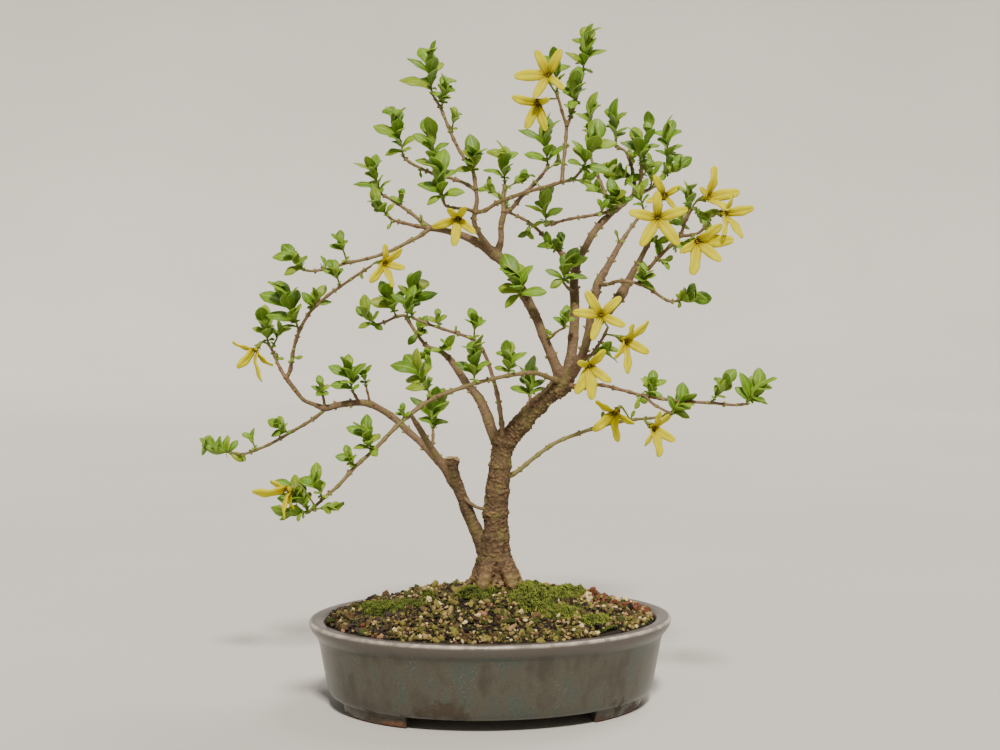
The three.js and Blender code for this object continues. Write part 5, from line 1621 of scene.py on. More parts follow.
@dataclass
class GrittySoil:
    """The soil mound: dark humus with a cover of fired clay granules, pumice and crumbs.
    Millimetres."""

    half: float = 90.2  # the half length, inside the lip
    edge: float = 47.3  # how high it stands at the lip
    rise: float = 17.4  # how much higher it is at the trunk
    power: float = 1.6  # how flat its top is
    collar: float = 3.2  # how high the soil is heaped round the trunk
    collar_radius: float = 24
    crumbs: float = 1.0
    spacing: float = 1.6  # from granule to granule
    coarse: float = 0.16  # the share of coarse granules
    coarse_size: tuple[float, float] = (1.2, 2.5)
    fine_size: tuple[float, float] = (0.55, 1.4)
    rings: int = 44
    steps: int = 150
    # Half length and height, up the bowl's inside.
    under: list[tuple[float, float]] = field(default_factory=lambda: [
        (0, 12.5), (75, 12.5), (80, 13.5), (82.6, 17), (88.2, 38), (89.6, 44.6)])

    def height(self, x: float, y: float) -> float:
        """Gives how high the mound stands.

        Args:
            x: A place along the pot, in millimetres from the middle.
            y: A place across the pot.

        Returns:
            The height above the pot's foot in millimetres.
        """
        edge = min(oval_share(x, y, self.half), 1)
        collar = max(1 - math.hypot(x, y) / self.collar_radius, 0)
        waves = waver(x * 0.11, y * 0.11, 5) * (1 - step(0.8, 1, edge))
        return (self.edge + self.rise * (1 - edge ** self.power) + self.collar * collar * collar
                + 1.7 * waves)

    def ground(self, across: float, down: float) -> Vector:
        """Finds the point of the mound that is seen at a place of the front view.

        Args:
            across: Pixels across.
            down: Pixels down.

        Returns:
            The point in metres.
        """
        best = spot([across, down, -70])
        least = 1e9
        for tenth in range(-700, 701, 5):
            point = spot([across, down, tenth / 10])
            local = (point - MIDDLE) / MM
            above = local.z - self.height(local.x, local.y)
            if abs(above) < least:
                best, least = point, abs(above)
            if above < 0:
                break
        return best

    def bed(self) -> BMesh:
        """Makes the soil's body, with a finely crumbled top.

        Returns:
            The body in metres.
        """
        top = [(self.half * (1 - i / self.rings), self.edge) for i in range(self.rings)]
        bm = spun([*self.under, *top, (0, self.edge)], self.steps)
        grain, tone = bm.verts.layers.float_vector["grain"], bm.verts.layers.float["tone"]
        for vert in bm.verts:
            x, y = vert.co.x, vert.co.y
            if vert.co.z > self.edge - 1:
                crumb = noise.fractal(Vector((x, y, 0)) * 0.45, 0.7, 2.1, 3)
                vert.co.z = self.height(x, y) + self.crumbs * (crumb - 0.6)
            vert[grain] = vert.co.copy()
            vert[tone] = 0.01
            vert.co = vert.co * MM + MIDDLE
        return bm

    def granule(self, x: float, y: float, key: float) -> BMesh:
        """Makes one granule where it lies on the mound.

        Args:
            x: Its place along the pot, in millimetres from the middle.
            y: Its place across the pot.
            key: The draw that varies it.

        Returns:
            The granule.
        """
        big = draw(key + 1) < self.coarse
        sizes = self.coarse_size if big else self.fine_size
        size = blend(*sizes, draw(key + 2) ** (1.6 if big else 1))
        halves = Vector((size * blend(0.85, 1.25, draw(key + 3)), size * blend(0.7, 1.1, draw(key + 4)),
                         size * blend(0.5, 0.9, draw(key + 5)))) * MM
        middle = Vector((x, y, self.height(x, y) + size * blend(-0.5, 0.9, draw(key + 6) ** 1.5)))
        shape = ball(middle * MM + MIDDLE, halves, turned(key + 7), 0 if big else 1,
                     0.34 if big else 0.5, key)
        paint(shape, "tone", self.shade(x, y, key))
        return shape

    def shade(self, x: float, y: float, key: float) -> float:
        """Picks a granule's colour: redder at the back right, greyer at the left.

        Args:
            x: Its place along the pot, in millimetres from the middle.
            y: Its place across the pot.
            key: The draw that varies it.

        Returns:
            Its place among the finish's stops.
        """
        across = seen(Vector((x, y, self.height(x, y))) * MM + MIDDLE)[0]
        if across > 575 and y > -10 and draw(key + 12) < 0.45:
            return blend(0.86, 0.91, draw(key + 13))
        if across < 400 and draw(key + 12) < 0.45:
            return blend(0.92, 0.99, draw(key + 13))
        if y < -20 and oval_share(x, y, self.half) > 0.86 and draw(key + 12) < 0.55:
            return blend(0.03, 0.45, draw(key + 13))
        damp = 0.12 * waver(x * 0.09, y * 0.09, 40)
        return min(max(0.03 + 0.82 * draw(key + 11) + damp, 0.03), 0.85)

    def build(self, beds: list["MossBed"]) -> Object:
        """Fills the pot and scatters the granules.

        Args:
            beds: The moss cushions, which few granules stand out of.

        Returns:
            The soil.
        """
        stops = ((0.0, "#1c130b"), (0.03, "#d8c794"), (0.08, "#a08a58"), (0.17, "#837a38"),
                 (0.26, "#5b5724"), (0.37, "#64502d"), (0.45, "#a57c5e"), (0.48, "#3e4616"),
                 (0.6, "#46351d"), (0.71, "#21180f"), (0.86, "#6d3f25"), (0.92, "#3b332b"),
                 (0.96, "#59462f"))
        piece = Piece("gritty_soil", [Grit("fired_clay_grit", stops).make()])
        piece.add(self.bed())
        lumps = Piece("granules", [])
        steps = int(self.half / self.spacing) + 1
        for i in range(-steps, steps + 1):
            for j in range(-steps, steps + 1):
                key = i * 7.31 + j * 3.17
                x = (i + 0.85 * (draw(key + 20) - 0.5)) * self.spacing
                y = (j + 0.85 * (draw(key + 21) - 0.5)) * self.spacing
                share = oval_share(x, y, self.half)
                bare = waver(x * 0.14, y * 0.14, 60) < -0.33 and share < 0.9
                height = self.height(x, y)
                mossy = any(bed.cover(x, y, height) > 0.35 for bed in beds)
                if share < 0.995 and draw(key + 22) < (0.35 if bare else 0.08 if mossy else 0.93):
                    lumps.add(self.granule(x, y, key))
        for face in lumps.bm.faces:
            face.smooth = False
        take(piece.bm, lumps.mesh())
        return piece.finish(Slot.SOIL, ["soil"])


@dataclass
class MossBed:
    """A moss cushion: low lumps under small upright tufts, grown where it is seen."""

    name: str
    node: str
    patches: list[tuple[float, float, float, float, float]]  # across, down, half sizes, height
    warm: float = 0.8  # from dark green to bright yellow-green
    tuft: float = 0.78  # millimetres between tufts

    def cover(self, x: float, y: float, height: float) -> float:
        """Gives how thick the moss is at a place.

        Args:
            x: Along the pot, in millimetres from the middle.
            y: Across the pot.
            height: How high the mound stands there.

        Returns:
            The thickness in millimetres, below 0 outside the moss.
        """
        across, down = seen(Vector((x, y, height)) * MM + MIDDLE)
        ragged = 0.42 * waver(x * 0.22, y * 0.22, 3) + 0.25 * waver(x * 0.7, y * 0.7, 8)
        return max(thick * (1 + ragged - ((across - px) / wide) ** 2 - ((down - py) / high) ** 2)
                   for px, py, wide, high, thick in self.patches)

    def build(self, soil: "GrittySoil") -> Object:
        """Grows the lumps and tufts on the mound.

        Args:
            soil: The mound that they grow on.

        Returns:
            The moss.
        """
        piece = Piece(self.name, [Moss().make()])
        spots = []
        for px, py, wide, high, _ in self.patches:
            for dx, dy in ((-1.2, 0), (1.2, 0), (0, -1.2), (0, 1.2)):
                ground = (soil.ground(px + dx * wide, py + dy * high) - MIDDLE) / MM
                spots.append((ground.x, ground.y))
        first = [int(min(place[i] for place in spots) / self.tuft) - 4 for i in (0, 1)]
        last = [int(max(place[i] for place in spots) / self.tuft) + 4 for i in (0, 1)]
        for i in range(first[0], last[0]):
            for j in range(first[1], last[1]):
                key = i * 5.13 + j * 2.71 + len(self.name)
                x = (i + 0.9 * (draw(key) - 0.5)) * self.tuft
                y = (j + 0.9 * (draw(key + 1) - 0.5)) * self.tuft
                if oval_share(x, y, soil.half) > 0.96:
                    continue
                height = soil.height(x, y)
                thick = self.cover(x, y, height)
                if thick < 0.12 or draw(key + 2) > 0.3 + thick:
                    continue
                clump = 0.5 + 1.1 * waver(x * 0.3, y * 0.3, 21)
                rise = min(0.3 + 0.8 * thick, 3.2) * (0.85 + 0.3 * draw(key + 3)) * blend(0.55, 1.4, clump)
                self.grow(piece, Vector((x, y, height)), rise, key, i % 3 == 0 and j % 3 == 0, clump)
        return piece.finish(Slot.MOSS, [self.node])

    def grow(self, piece: Piece, ground: Vector, rise: float, key: float, lump: bool,
             clump: float) -> None:
        """Grows one tuft, and now and then the lump that it stands on.

        Args:
            piece: What it is added to.
            ground: Where it stands, in millimetres from the pot's middle.
            rise: How high it is, in millimetres.
            key: The draw that varies it.
            lump: Whether a lump is grown with it.
            clump: How near the top of a clump it stands, from 0 to 1.
        """

        def spike(bm: BMesh) -> None:
            """Makes a small blunt spike, 1 high."""
            bmesh.ops.create_cone(bm, cap_ends=True, segments=4, radius1=1, radius2=0.3, depth=1,
                                  matrix=Matrix.Translation((0, 0, 0.5)))

        # Brighter on top of a clump and darker in its hollows: partly painted light and shade.
        warm = self.warm * (0.5 + 0.5 * draw(key + 5)) * blend(0.55, 1.25, clump)
        for number in range(2):
            shape = copy_of(("spike",), spike)
            lean = Matrix.Rotation(1.1 * (draw(key + 6 + number) - 0.5), 3, "X")
            turn = Matrix.Rotation(math.tau * draw(key + 7 + number), 3, "Z") @ lean
            foot = ground + UP * (rise - 1.1) + turn @ Vector((0.2 * number, 0, 0))
            size = blend(0.3, 0.55, draw(key + 8 + number))
            tall = blend(0.9, 1.6, draw(key + 9 + number))
            self.dress(shape, foot, turn, size, tall, warm, (0.2, 1.0))
            piece.add(shape)
        if lump:
            low = ball(Vector((0, 0, 0)), Vector((1, 1, 1)), Matrix.Identity(3), 1, 0.2, key)
            self.dress(low, ground + UP * (rise - 1.5), Matrix.Identity(3), 1.5, 1.2, warm, (0.0, 0.35))
            piece.add(low)

    @staticmethod
    def dress(shape: BMesh, foot: Vector, turn: Matrix, size: float, tall: float,
              warm: float, shades: tuple[float, float]) -> None:
        """Puts a tuft in its place, bright at its top and dark at its foot, which is partly painted shade.

        Args:
            shape: The tuft, about 1 in size.
            foot: Where it stands, in millimetres.
            turn: How it leans.
            size: Its half width in millimetres.
            tall: Its height in millimetres.
            warm: How bright it is.
            shades: The shares of brightness at its foot and its top, a painted shade towards the foot.
        """
        layers = shape.verts.layers
        grain, tone = layers.float_vector["grain"], layers.float["tone"]
        for vert in shape.verts:
            vert[grain] = (0, 0, blend(*shades, min(max(vert.co.z, 0), 1)))
            vert[tone] = warm
            local = Vector((vert.co.x * size, vert.co.y * size, vert.co.z * tall))
            vert.co = (foot + turn @ local) * MM + MIDDLE


class Mark(NamedTuple):
    """A place on a limb: two directions across it, the way along it, the millimetres along it, the
    limb's name and its radius there."""

    point: Vector
    side: Vector
    up: Vector
    way: Vector
    along: float
    name: str
    radius: float


@dataclass
class TreeWood:
    """The trunk, limbs and roots, melted together, with ridged bark and two pruned stubs.
    Millimetres, and each relief is given for young wood and for old."""

    voxel: float = 0.55
    ring_gap: float = 1.4
    swelling_gap: float = 13
    bud_gap: float = 11
    old_radius: tuple[float, float] = (2.4, 5.6)  # over which the bark turns from young to old
    flake_size: tuple[float, float] = (4.4, 1.8)  # across and along the limb
    flake_relief: tuple[float, float] = (0.08, 1.3)
    fine_relief: tuple[float, float] = (0.07, 0.35)
    lump_relief: tuple[float, float] = (0.1, 0.45)
    ring_relief: tuple[float, float] = (0.15, 0.1)
    root_relief: float = 0.3
    # Each stub's foot and cut end as spots of the front view, and its radius.
    stubs: list[tuple[list[float], list[float], float]] = field(default_factory=lambda: [
        ([451, 472, 0], [448.5, 457.5, -1.5], 2.5), ([453, 472, 0], [456.5, 458.5, -1.5], 2.2)])

    def lines(self) -> list[tuple[str, Line]]:
        """Gives every limb's and root's line by name."""
        limbs = [(name, Line.through(route)) for name, route in WOOD.items()]
        return limbs + [(f"root_{i}", Line.through(route)) for i, route in enumerate(ROOTS)]

    def core(self) -> Mesh:
        """Joins the limbs' tubes into one smooth skin.

        Returns:
            The skin in metres.
        """
        piece = Piece("wood_blank", [])
        for number, (name, line) in enumerate(self.lines()):
            length = line.length() / MM

            def swell(along: float, turn: float) -> float:
                """Makes the limb uneven, with a swelling at each old node.

                Args:
                    along: Millimetres along it.
                    turn: The turn round it.

                Returns:
                    The share of the radius.
                """
                wave = waver(math.cos(turn) * 0.8, math.sin(turn) * 0.8, along * 0.09 + number * 7)
                knot = max(math.cos(along * math.tau / self.swelling_gap + number), 0) ** 8
                slim = 0.88 if name == "left_trunk" else 1
                return slim * (1 + 0.14 * wave + (0.13 * knot if not name.startswith("root") else 0))

            piece.add(tube(line, 20, max(int(length / self.ring_gap), 8), 0, swell))
        for foot, end, radius in self.stubs:
            piece.add(rod(spot(foot), spot(end), [radius, radius, radius * 1.06], 16, 0))
        solid = show("wood_blank", piece.mesh())
        melt = solid.modifiers.new("melt", "REMESH")
        melt.mode = "VOXEL"
        melt.voxel_size = self.voxel * MM
        ease = solid.modifiers.new("ease", "SMOOTH")
        ease.factor = 0.5
        ease.iterations = 4
        return applied(solid)

    def marks(self) -> list[Mark]:
        """Lists places a millimetre apart along the limbs.

        Returns:
            The places.
        """
        found = []
        for name, line in self.lines():
            count = max(int(line.length() / MM), 6)
            side = line.heading(0).cross(SIGHT).normalized()
            along = 40.0 * len(name)
            last = line.point(0)
            for i in range(count + 1):
                share = i / count
                point, way = line.point(share), line.heading(share)
                along += (point - last).length / MM
                last = point
                side = (side - way * side.dot(way)).normalized()
                found.append(Mark(point, side, way.cross(side), way, along, name, line.radius(share)))
        return found

    def flake(self, u: float, v: float, w: float) -> float:
        """Gives how high the corky bark stands, from 0 in a crack to 1 on a flake's lifted edge.

        Args:
            u: A place across the limb, in millimetres.
            v: A place across it the other way.
            w: A place along it.

        Returns:
            The height, as a share.
        """
        wide, tall = self.flake_size
        total = 0.0
        for size, weight in ((1, 0.7), (0.5, 0.3)):
            sway = 0.7 * waver(u * 0.3, v * 0.3, w * 0.3 + 12)
            at = Vector((u / wide + sway, v / wide - sway, w / tall + 1.5 * sway)) / size
            reaches, middles = noise.voronoi(at)
            crack = min((reaches[1] - reaches[0]) / 0.35, 1)
            lifted = middles[0].z - at.z
            rest = draw(middles[0].x * 3.1 + middles[0].y * 1.7 + middles[0].z)
            total += weight * crack * (0.6 + 0.5 * lifted + 0.6 * (rest - 0.5))
        return min(max(total, 0), 1)

    def carve(self, bm: BMesh) -> None:
        """Raises the bark, and gives each point of the skin its place on its limb.

        Args:
            bm: The wood's smooth skin.
        """
        marks = self.marks()
        tree = KDTree(len(marks))
        for index, mark in enumerate(marks):
            tree.insert(mark.point, index)
        tree.balance()
        layers = bm.verts.layers
        grain = layers.float_vector.new("grain")
        tone = layers.float.new("tone")
        kind = layers.float.new("kind")
        bm.normal_update()
        ends = [(spot(end), radius) for _, end, radius in self.stubs]
        for vert in bm.verts:
            near = min(tree.find_n(vert.co, 14), key=lambda hit: hit[2] - marks[hit[1]].radius)
            mark = marks[near[1]]
            out = vert.co - mark.point
            u, v = out.dot(mark.side) / MM, out.dot(mark.up) / MM
            w = mark.along + out.dot(mark.way) / MM
            age = step(*self.old_radius, mark.radius / MM)
            if mark.name == "left_trunk":
                age *= blend(0.4, 1.2, step(16, 34, w - 400))
            rooty = mark.name.startswith("root")
            if rooty:
                age = blend(1, 0.62, step(4, 14, w - 240))
            flake = self.flake(u, v, w)
            fine = waver(u * 0.75, v * 0.75, w * 1.0 + 9)
            lump = waver(u * 0.14, v * 0.14, w * 0.13 + 31)
            ring = max(waver(u * 0.05, v * 0.05, w * 0.55 + 70), 0)
            if rooty:
                ring = max(math.sin(w * 1.9 + 3 * lump + 2 * fine), 0)
            relief = (blend(*self.flake_relief, age) * (flake - 0.5) + blend(*self.fine_relief, age) * fine
                      + blend(*self.lump_relief, age) * lump
                      + (self.root_relief if rooty else blend(*self.ring_relief, age)) * ring)
            for end, size in ends:
                if (vert.co - end).length < (size + 1) * MM and vert.co.z > end.z - 0.7 * MM:
                    relief = 0.4 * fine
            vert[grain] = (u, v, w)
            pale = 0.3 * step(5, 13, w - 240) if rooty else -0.12 if mark.name == "left_trunk" else 0
            # The tone follows the flakes' height: painted light on the raised flakes and painted shade in
            # the cracks.
            vert[tone] = 0.38 + blend(0.15, 0.6, age) * (flake - 0.5) + 0.25 * fine + 0.1 * ring + pale
            vert[kind] = age
            vert.co += vert.normal * relief * MM
        for face in bm.faces:
            face.smooth = True
            middle = face.calc_center_median()
            if face.normal.z > 0.6 and any((middle - end).length < size * 1.05 * MM for end, size in ends):
                face.material_index = 1

    def build(self) -> Object:
        """Makes the wood with its bark and buds.

        Returns:
            The wood.
        """
        bm = bmesh.new()
        take(bm, self.core())
        self.carve(bm)
        buds = Piece("buds", [])
        self.dormant_buds(buds)
        take(bm, buds.mesh())
        result = bpy.data.meshes.new("bark_wood")
        bm.to_mesh(result)
        bm.free()
        finishes = [Bark().make(), SawnWood().make(), SoftStem("dormant_bud", "#6b5f2c", "#98914a").make()]
        return place("bark_wood", result, finishes, Slot.BARK, ["wood"])

    def dormant_buds(self, piece: Piece) -> None:
        """Sets pairs of small buds at the limbs' old nodes.

        Args:
            piece: What they are added to.
        """
        for number, (name, line) in enumerate(self.lines()):
            if name in ("trunk", "left_trunk", "bridge") or name.startswith("root"):
                continue
            length = line.length() / MM
            for node in range(1, int(length / self.bud_gap)):
                key = 40.0 * number + node
                share = (node + 0.5 * draw(key)) * self.bud_gap / length
                if share > 0.98:
                    continue
                way, middle, radius = line.heading(share), line.point(share), line.radius(share)
                side = Matrix.Rotation(math.tau * draw(key + 5), 3, way) @ way.cross(SIGHT).normalized()
                for hand in (1, -1):
                    foot = middle + side * hand * radius * 0.7
                    tip = middle + side * hand * (radius + 1.1 * MM) + way * 0.9 * MM
                    size = blend(0.6, 1.1, draw(key + hand))
                    piece.add(rod(foot, tip, [size, size, 0.4 * size], 6, draw(key)), 2)


LEAF_FORM = BladeForm(width=0.53, rise=1.15, fall=0.9, neck=0.12, arch=0.17, fold=0.22, curl=0.28,
                      ripple=0.08, thickness=0.32, across=4, along=6)
SMALL_FORM = BladeForm(width=0.58, rise=1.0, fall=0.62, neck=0.16, arch=0.2, fold=0.25, curl=0.25,
                       ripple=0.06, thickness=0.3, across=4, along=4)
SPEAR_FORM = BladeForm(width=0.42, rise=0.9, fall=0.8, neck=0.2, arch=-0.08, fold=0.1, curl=0.05,
                       ripple=0.04, thickness=0.34, across=4, along=6)
SCALE_FORM = BladeForm(width=0.8, rise=0.4, fall=0.8, neck=0.6, arch=0.2, fold=0.3, curl=0.1,
                       ripple=0.1, thickness=0.3, across=2, along=3)
# The bloom's tube: reach and height in millimetres, down the outside and back into the throat.
CUP = [(0, -5.6), (0.85, -5.5), (1.0, -4), (1.4, -2.2), (1.9, -0.8), (1.7, -0.7), (1.2, -1.3),
       (0.7, -1.9), (0, -2.1)]
PETAL_FORM = BladeForm(width=0.37, rise=0.3, fall=0.38, neck=0.72, arch=0.12, fold=0.42, curl=0.5,
                       ripple=0.2, thickness=0.35, across=6, along=10, crowd=1.7)


@dataclass
class GreenShoot:
    """A shoot: its soft stem, the closed pair of leaves at its tip and the open leaves below."""

    piece: Piece
    line: Line
    shoot: Shoot
    key: float
    open_spread: tuple[float, float] = (48.0, 72.0)  # degrees from the shoot, high and low

    def __post_init__(self) -> None:
        """Finds the shoot's foot and tip, and the ways along and across it."""
        self.base = self.line.at_knot(self.shoot.knot)
        self.tip = spot([self.shoot.across, self.shoot.down, depth_of(self.base) + self.shoot.lean])
        self.total = (self.tip - self.base).length
        self.axis = (self.tip - self.base).normalized()
        self.side = self.axis.cross(SIGHT).normalized()
        self.spear = min(0.92 * self.shoot.leaf * MM, 0.8 * self.total)

    def build(self) -> None:
        """Grows the shoot."""
        top = self.base + self.axis * (self.total - self.spear)
        bow = self.side * self.total * 0.03 * (draw(self.key + 4) - 0.5)
        stem = Line([self.base, self.base.lerp(top, 0.5) + bow, top + self.axis * self.spear * 0.15],
                    [0.75 * MM, 0.6 * MM, 0.45 * MM])
        self.piece.add(tube(stem, 6, 7, draw(self.key)), 1)
        self.clasp(top)
        self.scales()
        known = 0
        for index, (across, down) in enumerate(self.shoot.tips):
            if (spot([across, down, depth_of(self.tip)]) - self.tip).length > 2.2 * MM:
                self.seen_leaf(across, down, self.key + 1.7 * index)
                known += 1
        self.hidden_leaves(known)

    def scales(self) -> None:
        """Makes the old bud scales that stay round the shoot's foot."""
        for number in range(5):
            out = Matrix.Rotation(number * 1.4 + draw(self.key), 3, self.axis) @ self.side
            foot = self.base + out * 0.5 * MM - self.axis * 0.3 * MM
            end = self.base + out * blend(1.0, 1.8, draw(self.key + number)) * MM + self.axis * 1.3 * MM
            self.piece.add(blade(foot, end, self.axis - out * 0.5, SCALE_FORM, self.key + number), 1)

    def clasp(self, foot: Vector) -> None:
        """Makes the two young leaves that clasp each other at the tip.

        Args:
            foot: Where they grow from.
        """
        turn = Matrix.Rotation(math.pi / 2 + 1.1 * (draw(self.key + 6) - 0.5), 3, self.axis)
        for hand in (1, -1):
            out = (turn @ self.side) * hand
            spread = self.spear * (0.04 + 0.1 * draw(self.key + 2 + hand))
            end = self.tip + out * spread - self.axis * self.spear * 0.12 * draw(self.key + hand)
            shape = blade(foot + out * 0.3 * MM, end, out * -1.0, SPEAR_FORM, self.key + hand)
            paint(shape, "tone", 0.75 + 0.25 * draw(self.key + 8))
            self.piece.add(shape, 2)

    def seen_leaf(self, across: float, down: float, key: float) -> None:
        """Grows a leaf whose tip is seen on the front view.

        Args:
            across: Its tip, in pixels across.
            down: Its tip, in pixels down.
            key: The draw that varies it.
        """
        end = spot([across, down, depth_of(self.base) + self.shoot.lean * 0.6])
        reach = (end - self.base).dot(self.axis)
        away = (end - self.base - self.axis * reach).length
        share = min(max(reach / self.total, 0), 1)
        spread = math.radians(blend(self.open_spread[1], self.open_spread[0], share))
        climb = min(max(reach - away / math.tan(spread), 0.1 * self.total), 0.86 * self.total)
        wanted = self.shoot.leaf * MM * blend(0.62, 1.0, share) * (0.85 + 0.3 * draw(key + 5))
        flat = math.hypot(away, reach - climb)
        if flat < 0.8 * wanted:
            lean = min(math.sqrt(wanted ** 2 - flat ** 2), 0.75 * wanted)
            end += SIGHT * lean * (-1 if draw(key + 3) < 0.6 else 1)
        self.leaf(self.base + self.axis * climb, end, key)

    def leaf(self, root: Vector, end: Vector, key: float) -> None:
        """Makes one open leaf, its upper side towards the shoot, the light and the front.

        Args:
            root: Where it grows from.
            end: Its tip.
            key: The draw that varies it.
        """
        length = (end - root).length
        if length < 1.2 * MM:
            return
        out = (end - root) - self.axis * (end - root).dot(self.axis)
        front = 0.5 + 0.8 * draw(key + 9)
        face = self.axis * 0.8 - out.normalized() * 0.6 + UP * 0.3 - SIGHT * front
        self.piece.add(blade(root, end, face, LEAF_FORM if length > 7 * MM else SMALL_FORM, key), 2)

    def hidden_leaves(self, known: int) -> None:
        """Grows the leaves that point towards and away from the eye, and the small lowest pair.

        Args:
            known: How many leaves have their place from the front view.
        """
        axis, side, key, leaf = self.axis, self.side, self.key, self.shoot.leaf
        near = side.cross(axis).normalized()
        pairs = 0 if leaf < 5.5 else 1 if leaf < 7.5 else 2 if leaf < 10 else 3
        for pair in range(pairs):
            share = (0.86 - 0.27 * pair) * (self.total - 0.55 * self.spear) / self.total
            root = self.base + axis * self.total * share
            for hand in (1, -1):
                if known == 0 and pair == 0:
                    out = (side * hand + near * 0.35 * (draw(key + pair) - 0.5)).normalized()
                else:
                    out = (near * hand + side * 1.5 * (draw(key + 7 * pair + hand) - 0.5)).normalized()
                spread = math.radians(38 + 15 * pair + 14 * (draw(key + pair * 3 + hand) - 0.5))
                length = leaf * MM * (1.05 - 0.12 * pair) * (0.85 + 0.3 * draw(key + hand + 11))
                way = (axis * math.cos(spread) + out * math.sin(spread) + UP * 0.12).normalized()
                self.leaf(root, root + way * length, key + 5 * pair + hand + 40)
        if self.total > 5 * MM:
            turn = Matrix.Rotation(math.tau * draw(key + 17), 3, axis)
            root = self.base + axis * blend(0.08, 0.2, draw(key + 19)) * self.total
            for hand in (1, -1):
                way = ((turn @ side) * hand + axis * blend(-0.5, 0.6, draw(key + hand))).normalized()
                size = blend(2.2, 4.2, draw(key + 13 + hand)) * MM
                self.leaf(root, root + way * size, key + hand + 60)


@dataclass
class LeafyStem:
    """A leafy stem: brown twigs with their green shoots, and the stalks of its blooms."""

    name: str
    twigs: list[Twig]
    number: int
    finishes: list[Material]
    internode: float = 8.5  # millimetres between a twig's nodes

    def build(self) -> Object:
        """Grows the stem.

        Returns:
            The stem.
        """
        piece = Piece(f"{self.name}_leafy", self.finishes)
        for count, twig in enumerate(self.twigs):
            line = Line.through(twig.route)
            key = 100.0 * self.number + 10 * count
            self.twig(piece, line, key)
            for index, shoot in enumerate(twig.shoots):
                GreenShoot(piece, line, shoot, key + index).build()
            for bloom in twig.blooms:
                self.stalk(piece, Flower(bloom, line), key + bloom.knot)
        return piece.finish(Slot.LEAF, [self.name])

    def twig(self, piece: Piece, line: Line, key: float) -> None:
        """Makes the brown twig, swollen at its nodes, with a pair of buds at each.

        Args:
            piece: What it is added to.
            line: Its route.
            key: The draw that varies it.
        """
        length = line.length() / MM
        olive = 0.9 if self.name == "stem_right_low" else 0.55 * draw(key + 3)

        def swell(along: float, turn: float) -> float:
            """Makes the twig thicker at its nodes and where it leaves the wood.

            Args:
                along: Millimetres along it.
                turn: The turn round it.

            Returns:
                The share of the radius.
            """
            beat = (along + 3 * draw(key)) / self.internode
            knot = math.exp(-(((beat - round(beat)) * self.internode) / 1.1) ** 2)
            wave = waver(math.cos(turn), math.sin(turn), along * 0.35 + key)
            return 1 + 0.32 * knot + 0.12 * wave + 0.35 * math.exp(-along / 1.6)

        shape = tube(line, 9, max(int(length / 0.9), 6), draw(key), swell)
        paint(shape, "kind", olive)
        piece.add(shape, 0)
        for node in range(1, int(length / self.internode) + 1):
            share = (node * self.internode - 3 * draw(key)) / length
            if not 0.05 < share < 0.97:
                continue
            way, middle = line.heading(share), line.point(share)
            side = way.cross(SIGHT).normalized()
            turn = Matrix.Rotation(math.pi / 2 * (node % 2) + 0.4 * draw(key + node), 3, way)
            for hand in (1, -1):
                out = (turn @ side) * hand
                tip = middle + out * (line.radius(share) + 0.75 * MM) + way * 0.7 * MM
                foot = middle + out * line.radius(share) * 0.5
                size = blend(0.55, 0.95, draw(key + node * 3 + hand))
                piece.add(rod(foot, tip, [size, size, 0.4 * size], 6, draw(key + node)),
                          1 if draw(key + node * 5 + hand) < 0.7 else 0)

    def stalk(self, piece: Piece, flower: "Flower", key: float) -> None:
        """Makes a bloom's stalk and the four green lobes that hold its tube.

        Args:
            piece: What they are added to.
            flower: Where the bloom sits.
            key: The draw that varies them.
        """
        foot = flower.throat - flower.face * 6.9 * MM
        middle = flower.base.lerp(foot, 0.5) + flower.face * -0.6 * MM
        line = Line([flower.base, middle, foot, flower.throat - flower.face * 4.6 * MM],
                    [0.5 * MM, 0.5 * MM, 0.8 * MM, 1.3 * MM])
        piece.add(tube(line, 7, 9, draw(key)), 1)
        side = flower.face.cross(UP).normalized()
        for quarter in range(4):
            out = Matrix.Rotation(quarter * math.pi / 2 + 0.5, 3, flower.face) @ side
            root = flower.throat - flower.face * 6.6 * MM + out * 0.75 * MM
            end = flower.throat - flower.face * 2.9 * MM + out * 2.1 * MM
            piece.add(blade(root, end, out * -1.0, SMALL_FORM, key + quarter), 1)


class Flower:
    """Where a bloom sits: its foot on the twig, its throat and the way that it faces."""

    def __init__(self, bloom: Bloom, line: Line) -> None:
        """Finds the places of a bloom on its twig.

        Args:
            bloom: The bloom as it is laid out.
            line: Its twig's route.
        """
        self.base = line.at_knot(bloom.knot)
        self.depth = depth_of(self.base) + bloom.throat[2]
        self.throat = spot([bloom.throat[0], bloom.throat[1], self.depth])
        self.face = facing(bloom.face)
        self.tips = [spot([across, down, self.depth + lean]) for across, down, lean in bloom.tips]


